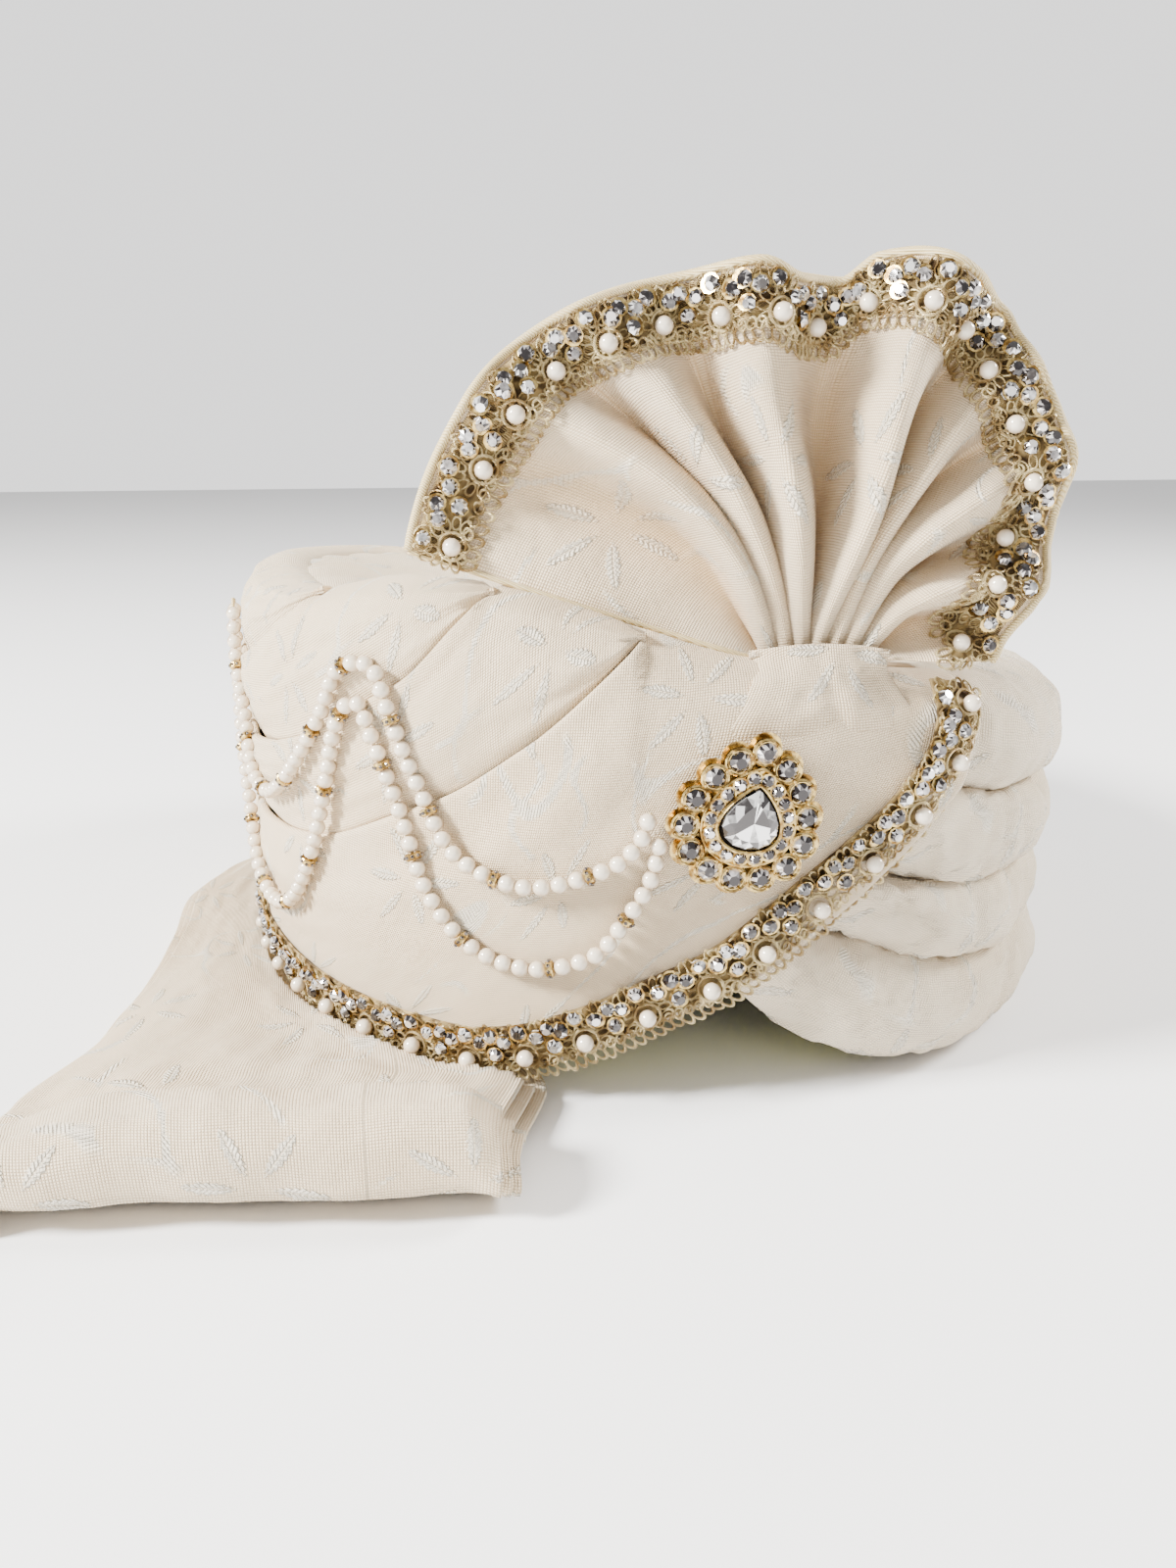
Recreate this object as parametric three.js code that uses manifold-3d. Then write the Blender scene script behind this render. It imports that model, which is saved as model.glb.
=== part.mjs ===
// A groom's tied turban: a padded crown of flat pleats on the wearer's right and four rolls on the left,
// a pleated standing fan with a gold lace edge, a pear brooch, two strings of pearls and a folded tail.
// Millimetres. The head stands at the origin, the forehead looks along -Y, +X is the wearer's left, +Z up.
// Angles go round the head in degrees from +X, so -90 is the forehead and -180 the wearer's right.

import * as THREE from "three";
import { mergeVertices } from "three/addons/utils/BufferGeometryUtils.js";
import Module from "manifold-3d";

// Driving dimensions
const PLEAT_SIDE = 122; // from the crown's middle to its pleated side
const ROLL_SIDE = 116; // and to its rolled side
const CROWN_LENGTH = 274;
const CROWN_SQUARENESS = 2.3;
const RIGHT_TOP = 119; // height of the pleated side, which stands on the tail
const LEFT_TOP = 92; // height of the rolled side
const FRONT_RISE = 11; // how far the rim rises to the fan's right wing
const RIGHT_FOOT = 6;
const HEAD_WIDTH = 168;
const HEAD_LENGTH = 204;
const HEAD_DEPTH = 88;
const LINER_WALL = 2;
const RIM_TURN = 5; // how far the turned lining stays inside the crown's foot
const PLEAT_STEP = 2.2; // how far a pleat's folded edge stands out
const ROLL_BULGE = 2;
const CREASE_DEPTH = 7;
const RIM_ROUND = 7;
const LACE_WIDTH = 13;
const LACE_THICKNESS = 1.6;
const FAN_REACH = 98;
const FAN_CLOTH = 1.8;
const FAN_ROOT_WIDTH = 27;
const FAN_PLEATS = 10;
const PLEAT_HEIGHT = 4.2;
const FAN_HEM = 1.6;
const FAN_LIFT = 2;
const PEARL = 4.2;
const BROOCH_WIDTH = 35;
const BROOCH_HEIGHT = 37;
const BROOCH_PLATE = 2.4;
const TAIL_REACH = 103; // from the crown's foot to the front roll's far corner
const TAIL_ROLL_HEIGHT = 24;
const GAP = 0.3; // between pieces that touch
const LACE_GAP = 0.6; // under the stiff lace, whose straight steps lie on a curved wall

// Heights as shares of the crown's height, and reaches as shares of its plan
const PROFILE = [
  { up: 0, reach: 0.98 },
  { up: 0.25, reach: 0.985 },
  { up: 0.5, reach: 0.985 },
  { up: 0.75, reach: 1 },
  { up: 0.9, reach: 0.99 },
  { up: 1, reach: 0.955 },
];

// The edge of the lowest pleat, from the foot on the wearer's right up to the rim
const BRIM_LINE = [
  { at: -121, up: 0 },
  { at: -114, up: 0.035 },
  { at: -106, up: 0.11 },
  { at: -101, up: 0.17 },
  { at: -95, up: 0.245 },
  { at: -90, up: 0.335 },
  { at: -85, up: 0.435 },
  { at: -80, up: 0.54 },
  { at: -75, up: 0.665 },
  { at: -71, up: 0.805 },
  { at: -69.5, up: 0.92 },
  { at: -69, up: 1 },
];
const ARCH_TOP = { at: -95, up: 0.245 };

// The lowest roll's underside, from the top of the forehead arch down to the foot
const ARCH_LEFT = [
  { at: -95, up: 0.245 },
  { at: -89, up: 0.13 },
  { at: -85, up: 0.085 },
  { at: -78, up: 0.03 },
  { at: -70, up: 0 },
];

// Where the rim rises in front, as shares of that rise
const RIM_RISE = [
  { at: -152, rise: 0 },
  { at: -143, rise: 0.3 },
  { at: -129, rise: 0.93 },
  { at: -119, rise: 1 },
  { at: -104, rise: 0.43 },
  { at: -95, rise: 0.08 },
  { at: -88, rise: 0 },
];

const BACK_SEAM = 125; // where the rolls meet the pleats behind

// Folded edges of the pleats: each rises from the back to the rim in front
const PLEAT_EDGES = [
  [
    { at: BACK_SEAM - 360, up: 0.44 },
    { at: -200, up: 0.415 },
    { at: -175, up: 0.405 },
    { at: -143, up: 0.455 },
    { at: -125, up: 0.58 },
    { at: -115, up: 0.725 },
    { at: -104, up: 1 },
  ],
  [
    { at: BACK_SEAM - 360, up: 0.63 },
    { at: -200, up: 0.595 },
    { at: -175, up: 0.585 },
    { at: -149, up: 0.66 },
    { at: -129, up: 0.8 },
    { at: -119, up: 1 },
  ],
  [
    { at: BACK_SEAM - 360, up: 0.81 },
    { at: -200, up: 0.785 },
    { at: -175, up: 0.775 },
    { at: -160, up: 0.84 },
    { at: -143, up: 1 },
  ],
];

// Creases between the rolls, whose front ends bend up under the brim
const ROLL_CREASES = [
  [
    { at: -92, up: 0.46 },
    { at: -86, up: 0.385 },
    { at: -79, up: 0.34 },
    { at: -70, up: 0.27 },
    { at: -55, up: 0.25 },
    { at: 0, up: 0.25 },
    { at: BACK_SEAM, up: 0.23 },
  ],
  [
    { at: -84, up: 0.55 },
    { at: -79, up: 0.525 },
    { at: -70, up: 0.465 },
    { at: -55, up: 0.455 },
    { at: 0, up: 0.48 },
    { at: BACK_SEAM, up: 0.47 },
  ],
  [
    { at: -72, up: 0.735 },
    { at: -60, up: 0.69 },
    { at: 0, up: 0.69 },
    { at: BACK_SEAM, up: 0.69 },
  ],
];

// Sections across a pleat and a roll: outward shares of the pleat step, and of bulge and crease depth
const PLEAT_SECTION = [
  { across: 0, out: 0 },
  { across: 0.22, out: 0.25 },
  { across: 0.45, out: 0.5 },
  { across: 0.7, out: 0.8 },
  { across: 0.95, out: 1 },
  { across: 1, out: 0.4 },
];
const ROLL_SECTION = [
  { across: 0, bulge: 0, crease: 1 },
  { across: 0.1, bulge: 0.1, crease: 0.3 },
  { across: 0.32, bulge: 0.85, crease: 0 },
  { across: 0.62, bulge: 1, crease: 0 },
  { across: 0.9, bulge: 0.2, crease: 0.3 },
  { across: 1, bulge: 0, crease: 1 },
];

// The fan's outline round its root, from the left tip over the top to the folded lower right corner
const FAN_OUTLINE = [
  { turn: 165, reach: 0.985 },
  { turn: 156, reach: 0.993 },
  { turn: 148, reach: 0.997 },
  { turn: 140.5, reach: 1 },
  { turn: 131, reach: 0.98 },
  { turn: 120, reach: 0.944 },
  { turn: 109, reach: 0.907 },
  { turn: 100.5, reach: 0.893 },
  { turn: 94, reach: 0.849 },
  { turn: 87, reach: 0.847 },
  { turn: 82, reach: 0.907 },
  { turn: 75.5, reach: 0.928 },
  { turn: 69, reach: 0.917 },
  { turn: 61, reach: 0.893 },
  { turn: 57.5, reach: 0.855 },
  { turn: 44.6, reach: 0.778 },
  { turn: 38, reach: 0.745 },
  { turn: 33, reach: 0.697 },
  { turn: 25, reach: 0.622 },
  { turn: 17.5, reach: 0.569 },
  { turn: 14, reach: 0.529 },
  { turn: 5, reach: 0.46 },
  { turn: -2, reach: 0.44 },
];
const FAN_AT = -85.5; // the fan's root on the crown
const FAN_FACING = -9; // its plane, turned a little to the wearer's right
const FAN_LEAN = 0.05; // backward lean, as a share of height
const WING_SWEEP = 0.05; // backward sweep of both wings, as a share of reach

// Waves of the fan's outer edge, forward of its plane as shares of the pleat height
const FAN_WAVES = [
  { turn: 165, out: 0.2 },
  { turn: 140, out: 0.7 },
  { turn: 115, out: -0.3 },
  { turn: 98, out: 0.9 },
  { turn: 88, out: -0.9 },
  { turn: 74, out: 1 },
  { turn: 62, out: -0.8 },
  { turn: 46, out: 0.8 },
  { turn: 30, out: -0.4 },
  { turn: 10, out: 0.6 },
  { turn: -2, out: -0.6 },
];

// Rows of the fan from its root to the lace, and one pleat across
const FAN_ROWS = [
  { along: 0, pleat: 0.75, wave: 0, wall: 2.4 },
  { along: 0.16, pleat: 1, wave: 0, wall: 1.6 },
  { along: 0.4, pleat: 1.1, wave: 0.1, wall: 1 },
  { along: 0.7, pleat: 0.85, wave: 0.5, wall: 1 },
];
const FAN_EDGE = { pleat: 0.35, wave: 1, wall: 1 };
const ONE_PLEAT = [
  { across: 0, out: 1 },
  { across: 0.5, out: 0.3 },
  { across: 0.72, out: -1 },
];

// Chosen points of the two strings of pearls on the crown
const STRAND_ROUTES = {
  upper: [
    { at: -103.6, up: 0.66 },
    { at: -104.6, up: 0.59 },
    { at: -107.5, up: 0.52 },
    { at: -115, up: 0.45 },
    { at: -122, up: 0.49 },
    { at: -126, up: 0.615 },
    { at: -128.4, up: 0.755 },
    { at: -131, up: 0.84 },
    { at: -135.5, up: 0.835 },
    { at: -139, up: 0.74 },
    { at: -144, up: 0.63 },
    { at: -149, up: 0.56 },
    { at: -155, up: 0.515 },
    { at: -161, up: 0.535 },
    { at: -167, up: 0.635 },
    { at: -172, up: 0.78 },
    { at: -175, up: 0.92 },
  ],
  lower: [
    { at: -102.6, up: 0.61 },
    { at: -103.6, up: 0.505 },
    { at: -106, up: 0.405 },
    { at: -109, up: 0.32 },
    { at: -115, up: 0.275 },
    { at: -121, up: 0.305 },
    { at: -125.4, up: 0.405 },
    { at: -128.4, up: 0.555 },
    { at: -130.6, up: 0.695 },
    { at: -133, up: 0.77 },
    { at: -135.6, up: 0.73 },
    { at: -138.6, up: 0.595 },
    { at: -142, up: 0.44 },
    { at: -147, up: 0.3 },
    { at: -154, up: 0.24 },
    { at: -162, up: 0.275 },
    { at: -169, up: 0.405 },
    { at: -175, up: 0.585 },
    { at: -180, up: 0.78 },
    { at: -182, up: 0.9 },
  ],
};

// The tail from its front roll back to its tucked end: the angle and place of both edges and the height
// between. Outside the crown a place is a share of the tail's reach, under it a share of the way in to
// the head opening, with a minus sign; heights are shares of the front roll's.
const TAIL_SECTIONS = [
  { leftAt: -139, left: 0.96, rightAt: -112.6, right: 0.45, lift: 0.3 },
  { leftAt: -139.6, left: 0.96, rightAt: -112.7, right: 0.43, lift: 0.76 },
  { leftAt: -141, left: 0.93, rightAt: -113.2, right: 0.37, lift: 1 },
  { leftAt: -143.7, left: 0.88, rightAt: -114, right: 0.26, lift: 0.95 },
  { leftAt: -145.3, left: 0.83, rightAt: -114.7, right: 0.19, lift: 0.55 },
  { leftAt: -147.4, left: 0.76, rightAt: -115.3, right: -0.01, lift: 0.5 },
  { leftAt: -153.7, left: 0.47, rightAt: -123.4, right: -0.5, lift: 0.44 },
  { leftAt: -162.6, left: 0.31, rightAt: -141, right: -1, lift: 0.4 },
  { leftAt: -174, left: 0.22, rightAt: -164, right: -1, lift: 0.36 },
  { leftAt: -186, left: 0.205, rightAt: -186, right: -1, lift: 0.34 },
  { leftAt: -198.7, left: 0.155, rightAt: -206, right: -1, lift: 0.31 },
  { leftAt: -214, left: 0.03, rightAt: -223, right: -1, lift: 0.28 },
];

const degrees = (value) => (value * Math.PI) / 180;

// Reads a table at a place: rows rise in `key`, and the value between two rows is a straight line
function readTable(rows, key, place, value) {
  const first = rows[0];
  const last = rows[rows.length - 1];
  if (place <= first[key]) return first[value];
  if (place >= last[key]) return last[value];
  const next = rows.findIndex((row) => row[key] >= place);
  const a = rows[next - 1];
  const b = rows[next];
  return a[value] + ((b[value] - a[value]) * (place - a[key])) / (b[key] - a[key]);
}

const mix = (a, b, share) => a + (b - a) * share;

// Distance from the middle to a superellipse of the crown's squareness
function planRadius(at, halfWidth, length) {
  const across = Math.abs(Math.cos(degrees(at))) / halfWidth;
  const along = Math.abs(Math.sin(degrees(at))) / (length / 2);
  return (across ** CROWN_SQUARENESS + along ** CROWN_SQUARENESS) ** (-1 / CROWN_SQUARENESS);
}

const footHeight = (at) => (RIGHT_FOOT / 2) * (1 - Math.cos(degrees(at)));
const rimRise = (at) => FRONT_RISE * readTable(RIM_RISE, "at", at > 180 ? at - 360 : at, "rise");
const topHeight = (at) => mix(LEFT_TOP, RIGHT_TOP, 0.5 - Math.cos(degrees(at)) / 2) + rimRise(at);
const heightAt = (at, up) => mix(footHeight(at), topHeight(at), up);

function polar(at, radius, height) {
  return new THREE.Vector3(radius * Math.cos(degrees(at)), radius * Math.sin(degrees(at)), height);
}

function crownReach(at, up) {
  const halfWidth = Math.cos(degrees(at)) > 0 ? ROLL_SIDE : PLEAT_SIDE;
  return planRadius(at, halfWidth, CROWN_LENGTH) * readTable(PROFILE, "up", up, "reach");
}

function crownPoint(at, up, out) {
  return polar(at, crownReach(at, up) + out, heightAt(at, up));
}

const linerRadius = (at, out) => planRadius(at, HEAD_WIDTH / 2, HEAD_LENGTH) + out;

// The crown's lower edge: the foot, raised over the forehead into an arch
function lowerEdge(at) {
  const turned = at > 180 ? at - 360 : at;
  if (turned < ARCH_TOP.at) return readTable(BRIM_LINE, "at", turned, "up");
  return readTable(ARCH_LEFT, "at", turned, "up");
}

const SAME_POINT = 1e-3; // points this close are one

// A closed mesh through sections, each a loop of as many points; open ends are closed flat
function loft(sections, { ring = false } = {}) {
  const count = sections[0].length;
  const positions = sections.flat().flatMap((point) => point.toArray());
  const triangles = [];
  const lastSection = ring ? sections.length : sections.length - 1;
  for (let i = 0; i < lastSection; i++) {
    const here = i * count;
    const there = ((i + 1) % sections.length) * count;
    for (let j = 0; j < count; j++) {
      const next = (j + 1) % count;
      triangles.push([here + j, there + j, there + next]);
      triangles.push([here + j, there + next, here + next]);
    }
  }
  if (!ring) {
    const end = (sections.length - 1) * count;
    for (const face of flatFaces(sections[0])) triangles.push(face);
    for (const [a, b, c] of flatFaces(sections.at(-1))) triangles.push([end + a, end + c, end + b]);
  }
  return closedGeometry(positions, triangles);
}

// Triangles that fill a loop, wound so that they close a loft's first end
function flatFaces(loop) {
  const normal = new THREE.Vector3();
  loop.forEach((point, i) => {
    const next = loop[(i + 1) % loop.length];
    normal.add(new THREE.Vector3().crossVectors(point, next));
  });
  normal.normalize();
  const side = new THREE.Vector3().subVectors(loop[1], loop[0]).projectOnPlane(normal).normalize();
  const other = new THREE.Vector3().crossVectors(normal, side);
  const flat = loop.map((point) => new THREE.Vector2(point.dot(side), point.dot(other)));
  return THREE.ShapeUtils.triangulateShape(flat, []);
}

// Merges points that meet, drops the triangles that this empties and turns the faces outward
function closedGeometry(positions, triangles) {
  const geometry = new THREE.BufferGeometry();
  geometry.setAttribute("position", new THREE.Float32BufferAttribute(positions, 3));
  geometry.setIndex(triangles.flat());
  const merged = mergeVertices(geometry, SAME_POINT);
  const index = merged.index.array;
  const place = merged.getAttribute("position");
  const kept = [];
  let volume = 0;
  for (let i = 0; i < index.length; i += 3) {
    const [a, b, c] = [index[i], index[i + 1], index[i + 2]];
    if (a === b || b === c || c === a) continue;
    kept.push([a, b, c]);
    const corners = [a, b, c].map((corner) => new THREE.Vector3().fromBufferAttribute(place, corner));
    volume += corners[0].dot(corners[1].cross(corners[2]));
  }
  merged.setIndex((volume < 0 ? kept.map(([a, b, c]) => [a, c, b]) : kept).flat());
  merged.computeVertexNormals();
  return merged;
}

const model = new THREE.Group();

function addPiece(name, geometry, material) {
  const mesh = new THREE.Mesh(geometry, new THREE.MeshStandardMaterial(material));
  mesh.name = name;
  model.add(mesh);
  return mesh;
}

const CLOTH = { color: 0xf0e6d2, roughness: 0.75, metalness: 0 };
const LINING = { color: 0xa3a04a, roughness: 0.9, metalness: 0 };
const LACE = { color: 0xb39a5c, roughness: 0.5, metalness: 0.6 };
const BRASS = { color: 0xc9a24a, roughness: 0.3, metalness: 1 };
const PEARLS = { color: 0xf6efe0, roughness: 0.25, metalness: 0 };

// Lining: a cap open below, whose lower rim turns outward under the padded wall
const LINER_STEP = 18;
const INNER_SLANT = 9; // widest slant in degrees of one face on a wall's inside
const SHOULDER = 0.6; // where the cap's wall turns into its dome, as a share of the head's depth
const linerShoulder = (at) => HEAD_DEPTH * SHOULDER + footHeight(at);
const linerTop = HEAD_DEPTH + RIGHT_FOOT / 2;
const DOME = [
  { reach: 1, rise: 0 },
  { reach: 0.86, rise: 0.52 },
  { reach: 0.5, rise: 0.88 },
  { reach: 0, rise: 1 },
];

// Points of the dome at one angle, from its shoulder to its crown
function domePoints(at, wall, lift) {
  const bottom = linerShoulder(at) + lift;
  const top = linerTop + lift;
  return DOME.map(({ reach, rise }) => polar(at, linerRadius(at, wall) * reach, mix(bottom, top, rise)));
}

function linerSection(at) {
  const foot = heightAt(at, lowerEdge(at));
  const inner = linerRadius(at, 0);
  const outer = linerRadius(at, LINER_WALL);
  const rim = crownReach(at, lowerEdge(at)) - RIM_TURN;
  return [
    polar(at, inner, foot),
    ...domePoints(at, 0, 0),
    ...domePoints(at, LINER_WALL, LINER_WALL).reverse(),
    polar(at, outer, foot + LINER_WALL),
    polar(at, rim, foot + LINER_WALL),
    polar(at, rim, foot),
  ];
}

// Angles round the lining: even steps, and over the forehead the angles that shape the arch
const archAngles = [
  ...BRIM_LINE.filter((row) => row.at <= ARCH_TOP.at),
  ...ARCH_LEFT.filter((row) => row.at > ARCH_TOP.at),
].map((row) => row.at);
const archStart = Math.min(...archAngles);
const archEnd = Math.max(...archAngles);
const evenAngles = Array.from({ length: 360 / LINER_STEP }, (_, i) => -180 + i * LINER_STEP);
const wallAngles = evenAngles.filter((at) => at < archStart || at > archEnd);
const linerAngles = [...wallAngles, ...archAngles].sort((a, b) => a - b);
addPiece("crown_liner", loft(linerAngles.map(linerSection), { ring: true }), LINING);

// The cloth over the top, filling the space between the lining's dome and the rim
const CAP_DIP = 3;
const CAP_TOP = [
  { reach: 0, drop: 0.2 },
  { reach: 0.6, drop: 0.3 },
  { reach: 0.93, drop: 1 },
  { reach: 1, drop: 2 },
];

function capSection(at) {
  const top = CAP_TOP.map(({ reach, drop }) => {
    const middle = (LEFT_TOP + RIGHT_TOP) / 2;
    const height = mix(middle, topHeight(at), reach) - CAP_DIP * drop;
    return polar(at, linerRadius(at, LINER_WALL) * reach, height);
  });
  const bottom = domePoints(at, LINER_WALL, LINER_WALL + GAP).reverse();
  return [...bottom, ...top.reverse().slice(0, -1)];
}

addPiece("crown_cap", loft(linerAngles.map(capSection), { ring: true }), CLOTH);

const CHORD_SPARE = 2; // degrees added to a wall's widest step, for the straight faces inside

// A piece of the padded wall between a low and a high border, through the angles given for each share across
function wallBand({ low, high, angles, outer }) {
  const bottoms = angles(0);
  const tops = angles(1);
  const slant = Math.abs(bottoms[0] - tops[0]);
  const innerRows = Math.max(1, Math.round(slant / INNER_SLANT));
  const steps = bottoms.slice(1).map((at, i) => Math.abs(at - bottoms[i]));
  const widest = degrees(Math.max(...steps) + CHORD_SPARE);
  const chordDip = (HEAD_LENGTH / 2) * (1 - Math.cos(widest / 2));
  const inside = LINER_WALL + GAP + chordDip;
  const outerAngles = outer.map((row) => angles(row.across));
  const innerShares = Array.from({ length: innerRows + 1 }, (_, i) => 1 - i / innerRows);
  const innerAngles = innerShares.map((across) => angles(across));
  return loft(
    bottoms.map((_, i) => {
      const outerPoints = outer.map((row, j) => {
        const at = outerAngles[j][i];
        const point = crownPoint(at, mix(low(at), high(at), row.across), row.out(high(at) >= 1));
        point.z += borderLift(row.across, low(at), at);
        return point;
      });
      const innerPoints = innerShares.map((across, j) => {
        const at = innerAngles[j][i];
        const dip = across === 1 && high(at) >= 1 ? CAP_DIP / 2 : 0;
        const height = heightAt(at, mix(low(at), high(at), across)) - dip;
        return polar(at, linerRadius(at, inside), height + borderLift(across, low(at), at));
      });
      return [...outerPoints, ...innerPoints];
    }),
  );
}

// Room over the turned lining at the crown's foot, and half a gap at each border between neighbours
function borderLift(across, low, at) {
  if (across === 1) return -GAP / 2;
  if (across > 0) return 0;
  return low <= lowerEdge(at) ? LINER_WALL + GAP : GAP / 2;
}

const brimUp = (at) => readTable(BRIM_LINE, "at", at, "up");
const brimAngle = (up) => readTable(BRIM_LINE, "up", up, "at");
const pleatEdge = (index) => (at) => Math.min(1, readTable(PLEAT_EDGES[index], "at", at, "up"));
const rim = () => 1;

const pleatOuter = PLEAT_SECTION.map(({ across, out }) => ({
  across,
  out: (isRim) => (across === 1 && isRim ? -RIM_ROUND : out * PLEAT_STEP),
}));

// Angles that shape the pleats, with the wide steps between them divided
const PLEAT_STEP_ANGLE = 12;
const pleatRows = [...new Set(PLEAT_EDGES.flat().map((row) => row.at))].sort((a, b) => b - a);
const pleatAngles = pleatRows.flatMap((at, i) => {
  if (i === pleatRows.length - 1) return [at];
  const parts = Math.ceil((at - pleatRows[i + 1]) / PLEAT_STEP_ANGLE);
  return Array.from({ length: parts }, (_, j) => mix(at, pleatRows[i + 1], j / parts));
});

const FRONT_STEPS = 4;

// The lowest pleat, whose free edge runs down the forehead and forms the right half of the arch
const lowestPleat = {
  low: (at) => (at > ARCH_TOP.at ? ARCH_TOP.up : Math.max(0, brimUp(at))),
  high: pleatEdge(0),
  angles: (across) => {
    const start = brimAngle(mix(ARCH_TOP.up, 1, across));
    const front = Array.from({ length: FRONT_STEPS }, (_, i) => mix(start, pleatAngles[0], i / FRONT_STEPS));
    return [...front, ...pleatAngles];
  },
  outer: pleatOuter,
};
addPiece("panel_1", wallBand(lowestPleat), CLOTH);

// The other pleats, each tucked behind the fold of the one below; their tips end at the rim
const TIP = 0.04;

function pleatTip(index) {
  const edge = [...PLEAT_EDGES[index]].reverse();
  return edge[0].at - ((edge[0].at - edge[1].at) * TIP) / (edge[0].up - edge[1].up);
}

for (const index of [0, 1, 2]) {
  const high = index < 2 ? pleatEdge(index + 1) : rim;
  const tip = pleatTip(index);
  const angles = () => [tip, ...pleatAngles.filter((at) => at < tip)];
  const outline = { low: pleatEdge(index), high, angles, outer: pleatOuter };
  addPiece("panel_" + (index + 2), wallBand(outline), CLOTH);
}

// The four padded rolls, which start under the brim line and end at the seam behind
const rollOuter = (isTopRoll) =>
  ROLL_SECTION.map(({ across, bulge, crease }) => ({
    across,
    out: () => bulge * ROLL_BULGE - (isTopRoll && across === 1 ? RIM_ROUND : crease * CREASE_DEPTH),
  }));

const rollBorder = (index) => (at) => readTable(ROLL_CREASES[index], "at", at, "up");
const SEAM_CLEARANCE = 0.7; // degrees between the rolls' ends and the pleats
const ROLL_STEPS = 17;
const ROLL_SPREAD = 1.2; // steps grow wider toward the seam behind

const SEARCH_STEPS = 30; // of each search for where two lines meet

// Where a line across a roll meets the brim line
function rollStart(low, high, across) {
  let at = ARCH_TOP.at;
  for (let i = 0; i < SEARCH_STEPS; i++) at = mix(at, brimAngle(mix(low(at), high(at), across)), 0.5);
  return at + SEAM_CLEARANCE;
}

const rollBorders = [lowerEdge, rollBorder(0), rollBorder(1), rollBorder(2), rim];
for (const roll of [1, 2, 3, 4]) {
  const low = rollBorders[4 - roll];
  const high = rollBorders[5 - roll];
  const angles = (across) => {
    const start = rollStart(low, high, across);
    const shares = Array.from({ length: ROLL_STEPS + 1 }, (_, i) => (i / ROLL_STEPS) ** ROLL_SPREAD);
    return shares.map((share) => mix(start, BACK_SEAM - SEAM_CLEARANCE, share));
  };
  addPiece("roll_" + roll, wallBand({ low, high, angles, outer: rollOuter(roll === 1) }), CLOTH);
}

// The standing fan: a closed pleated sheet in a plane of its own, right, up and forward of its root
const fanRoot = crownPoint(FAN_AT, 1, -RIM_ROUND);
fanRoot.z += FAN_LIFT;
const fanRight = new THREE.Vector3(Math.cos(degrees(FAN_FACING)), Math.sin(degrees(FAN_FACING)), 0);
const fanForward = new THREE.Vector3(Math.sin(degrees(FAN_FACING)), -Math.cos(degrees(FAN_FACING)), 0);

function fanPoint(right, up, forward) {
  const back = FAN_LEAN * up + (WING_SWEEP * right * right) / FAN_REACH;
  return fanRoot
    .clone()
    .addScaledVector(fanRight, right)
    .addScaledVector(fanForward, forward - back)
    .setZ(fanRoot.z + up);
}

const fanStart = FAN_OUTLINE[0].turn;
const fanEnd = FAN_OUTLINE.at(-1).turn;
const fanTable = (rows, turn, value) => readTable([...rows].reverse(), "turn", turn, value);

// Columns of the fan: its turn, the pleat's offset there, and the ends of the line from root to edge
const fanColumns = Array.from({ length: FAN_PLEATS }, (_, pleat) =>
  ONE_PLEAT.map(({ across, out }) => ({ share: (pleat + across) / FAN_PLEATS, out })),
).flat();
fanColumns.push({ share: 1, out: ONE_PLEAT[0].out });
for (const column of fanColumns) {
  const turn = mix(fanStart, fanEnd, column.share);
  const reach = FAN_REACH * fanTable(FAN_OUTLINE, turn, "reach");
  column.root = new THREE.Vector2(mix(-0.5, 0.5, column.share) * FAN_ROOT_WIDTH, 0);
  column.edge = new THREE.Vector2(reach * Math.cos(degrees(turn)), reach * Math.sin(degrees(turn)));
  column.wave = fanTable(FAN_WAVES, turn, "out");
  const length = column.root.distanceTo(column.edge);
  const laceStart = 1 - (LACE_WIDTH + FAN_HEM) / length;
  column.rows = FAN_ROWS.map((row) => ({ ...row, along: row.along * laceStart }));
  column.lace = [laceStart, 1 - FAN_HEM / length].map((along) => ({ ...FAN_EDGE, along }));
  column.rows.push(...column.lace, { ...FAN_EDGE, along: 1 });
}

// A point of the fan in one column and row, a distance in front of its middle surface
function fanSurface(column, row, front) {
  const flat = column.root.clone().lerp(column.edge, row.along);
  const out = PLEAT_HEIGHT * (column.out * row.pleat + column.wave * row.wave);
  return fanPoint(flat.x, flat.y, out + front);
}

const fanSections = fanColumns.map((column) => {
  const front = column.rows.map((row) => fanSurface(column, row, (FAN_CLOTH / 2) * row.wall));
  const back = column.rows.map((row) => fanSurface(column, row, (-FAN_CLOTH / 2) * row.wall));
  return [...front, ...back.reverse()];
});
addPiece("fan", loft(fanSections), CLOTH);

// The lace along the fan's edge, on its front
const onFan = (column, row, height) => fanSurface(column, row, FAN_CLOTH / 2 + GAP + height);
const fanLace = fanColumns.map((column) => {
  const [inner, outer] = column.lace;
  const back = [onFan(column, inner, 0), onFan(column, outer, 0)];
  return [...back, onFan(column, outer, LACE_THICKNESS), onFan(column, inner, LACE_THICKNESS)];
});
addPiece("fan_trim", loft(fanLace), LACE);

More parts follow.
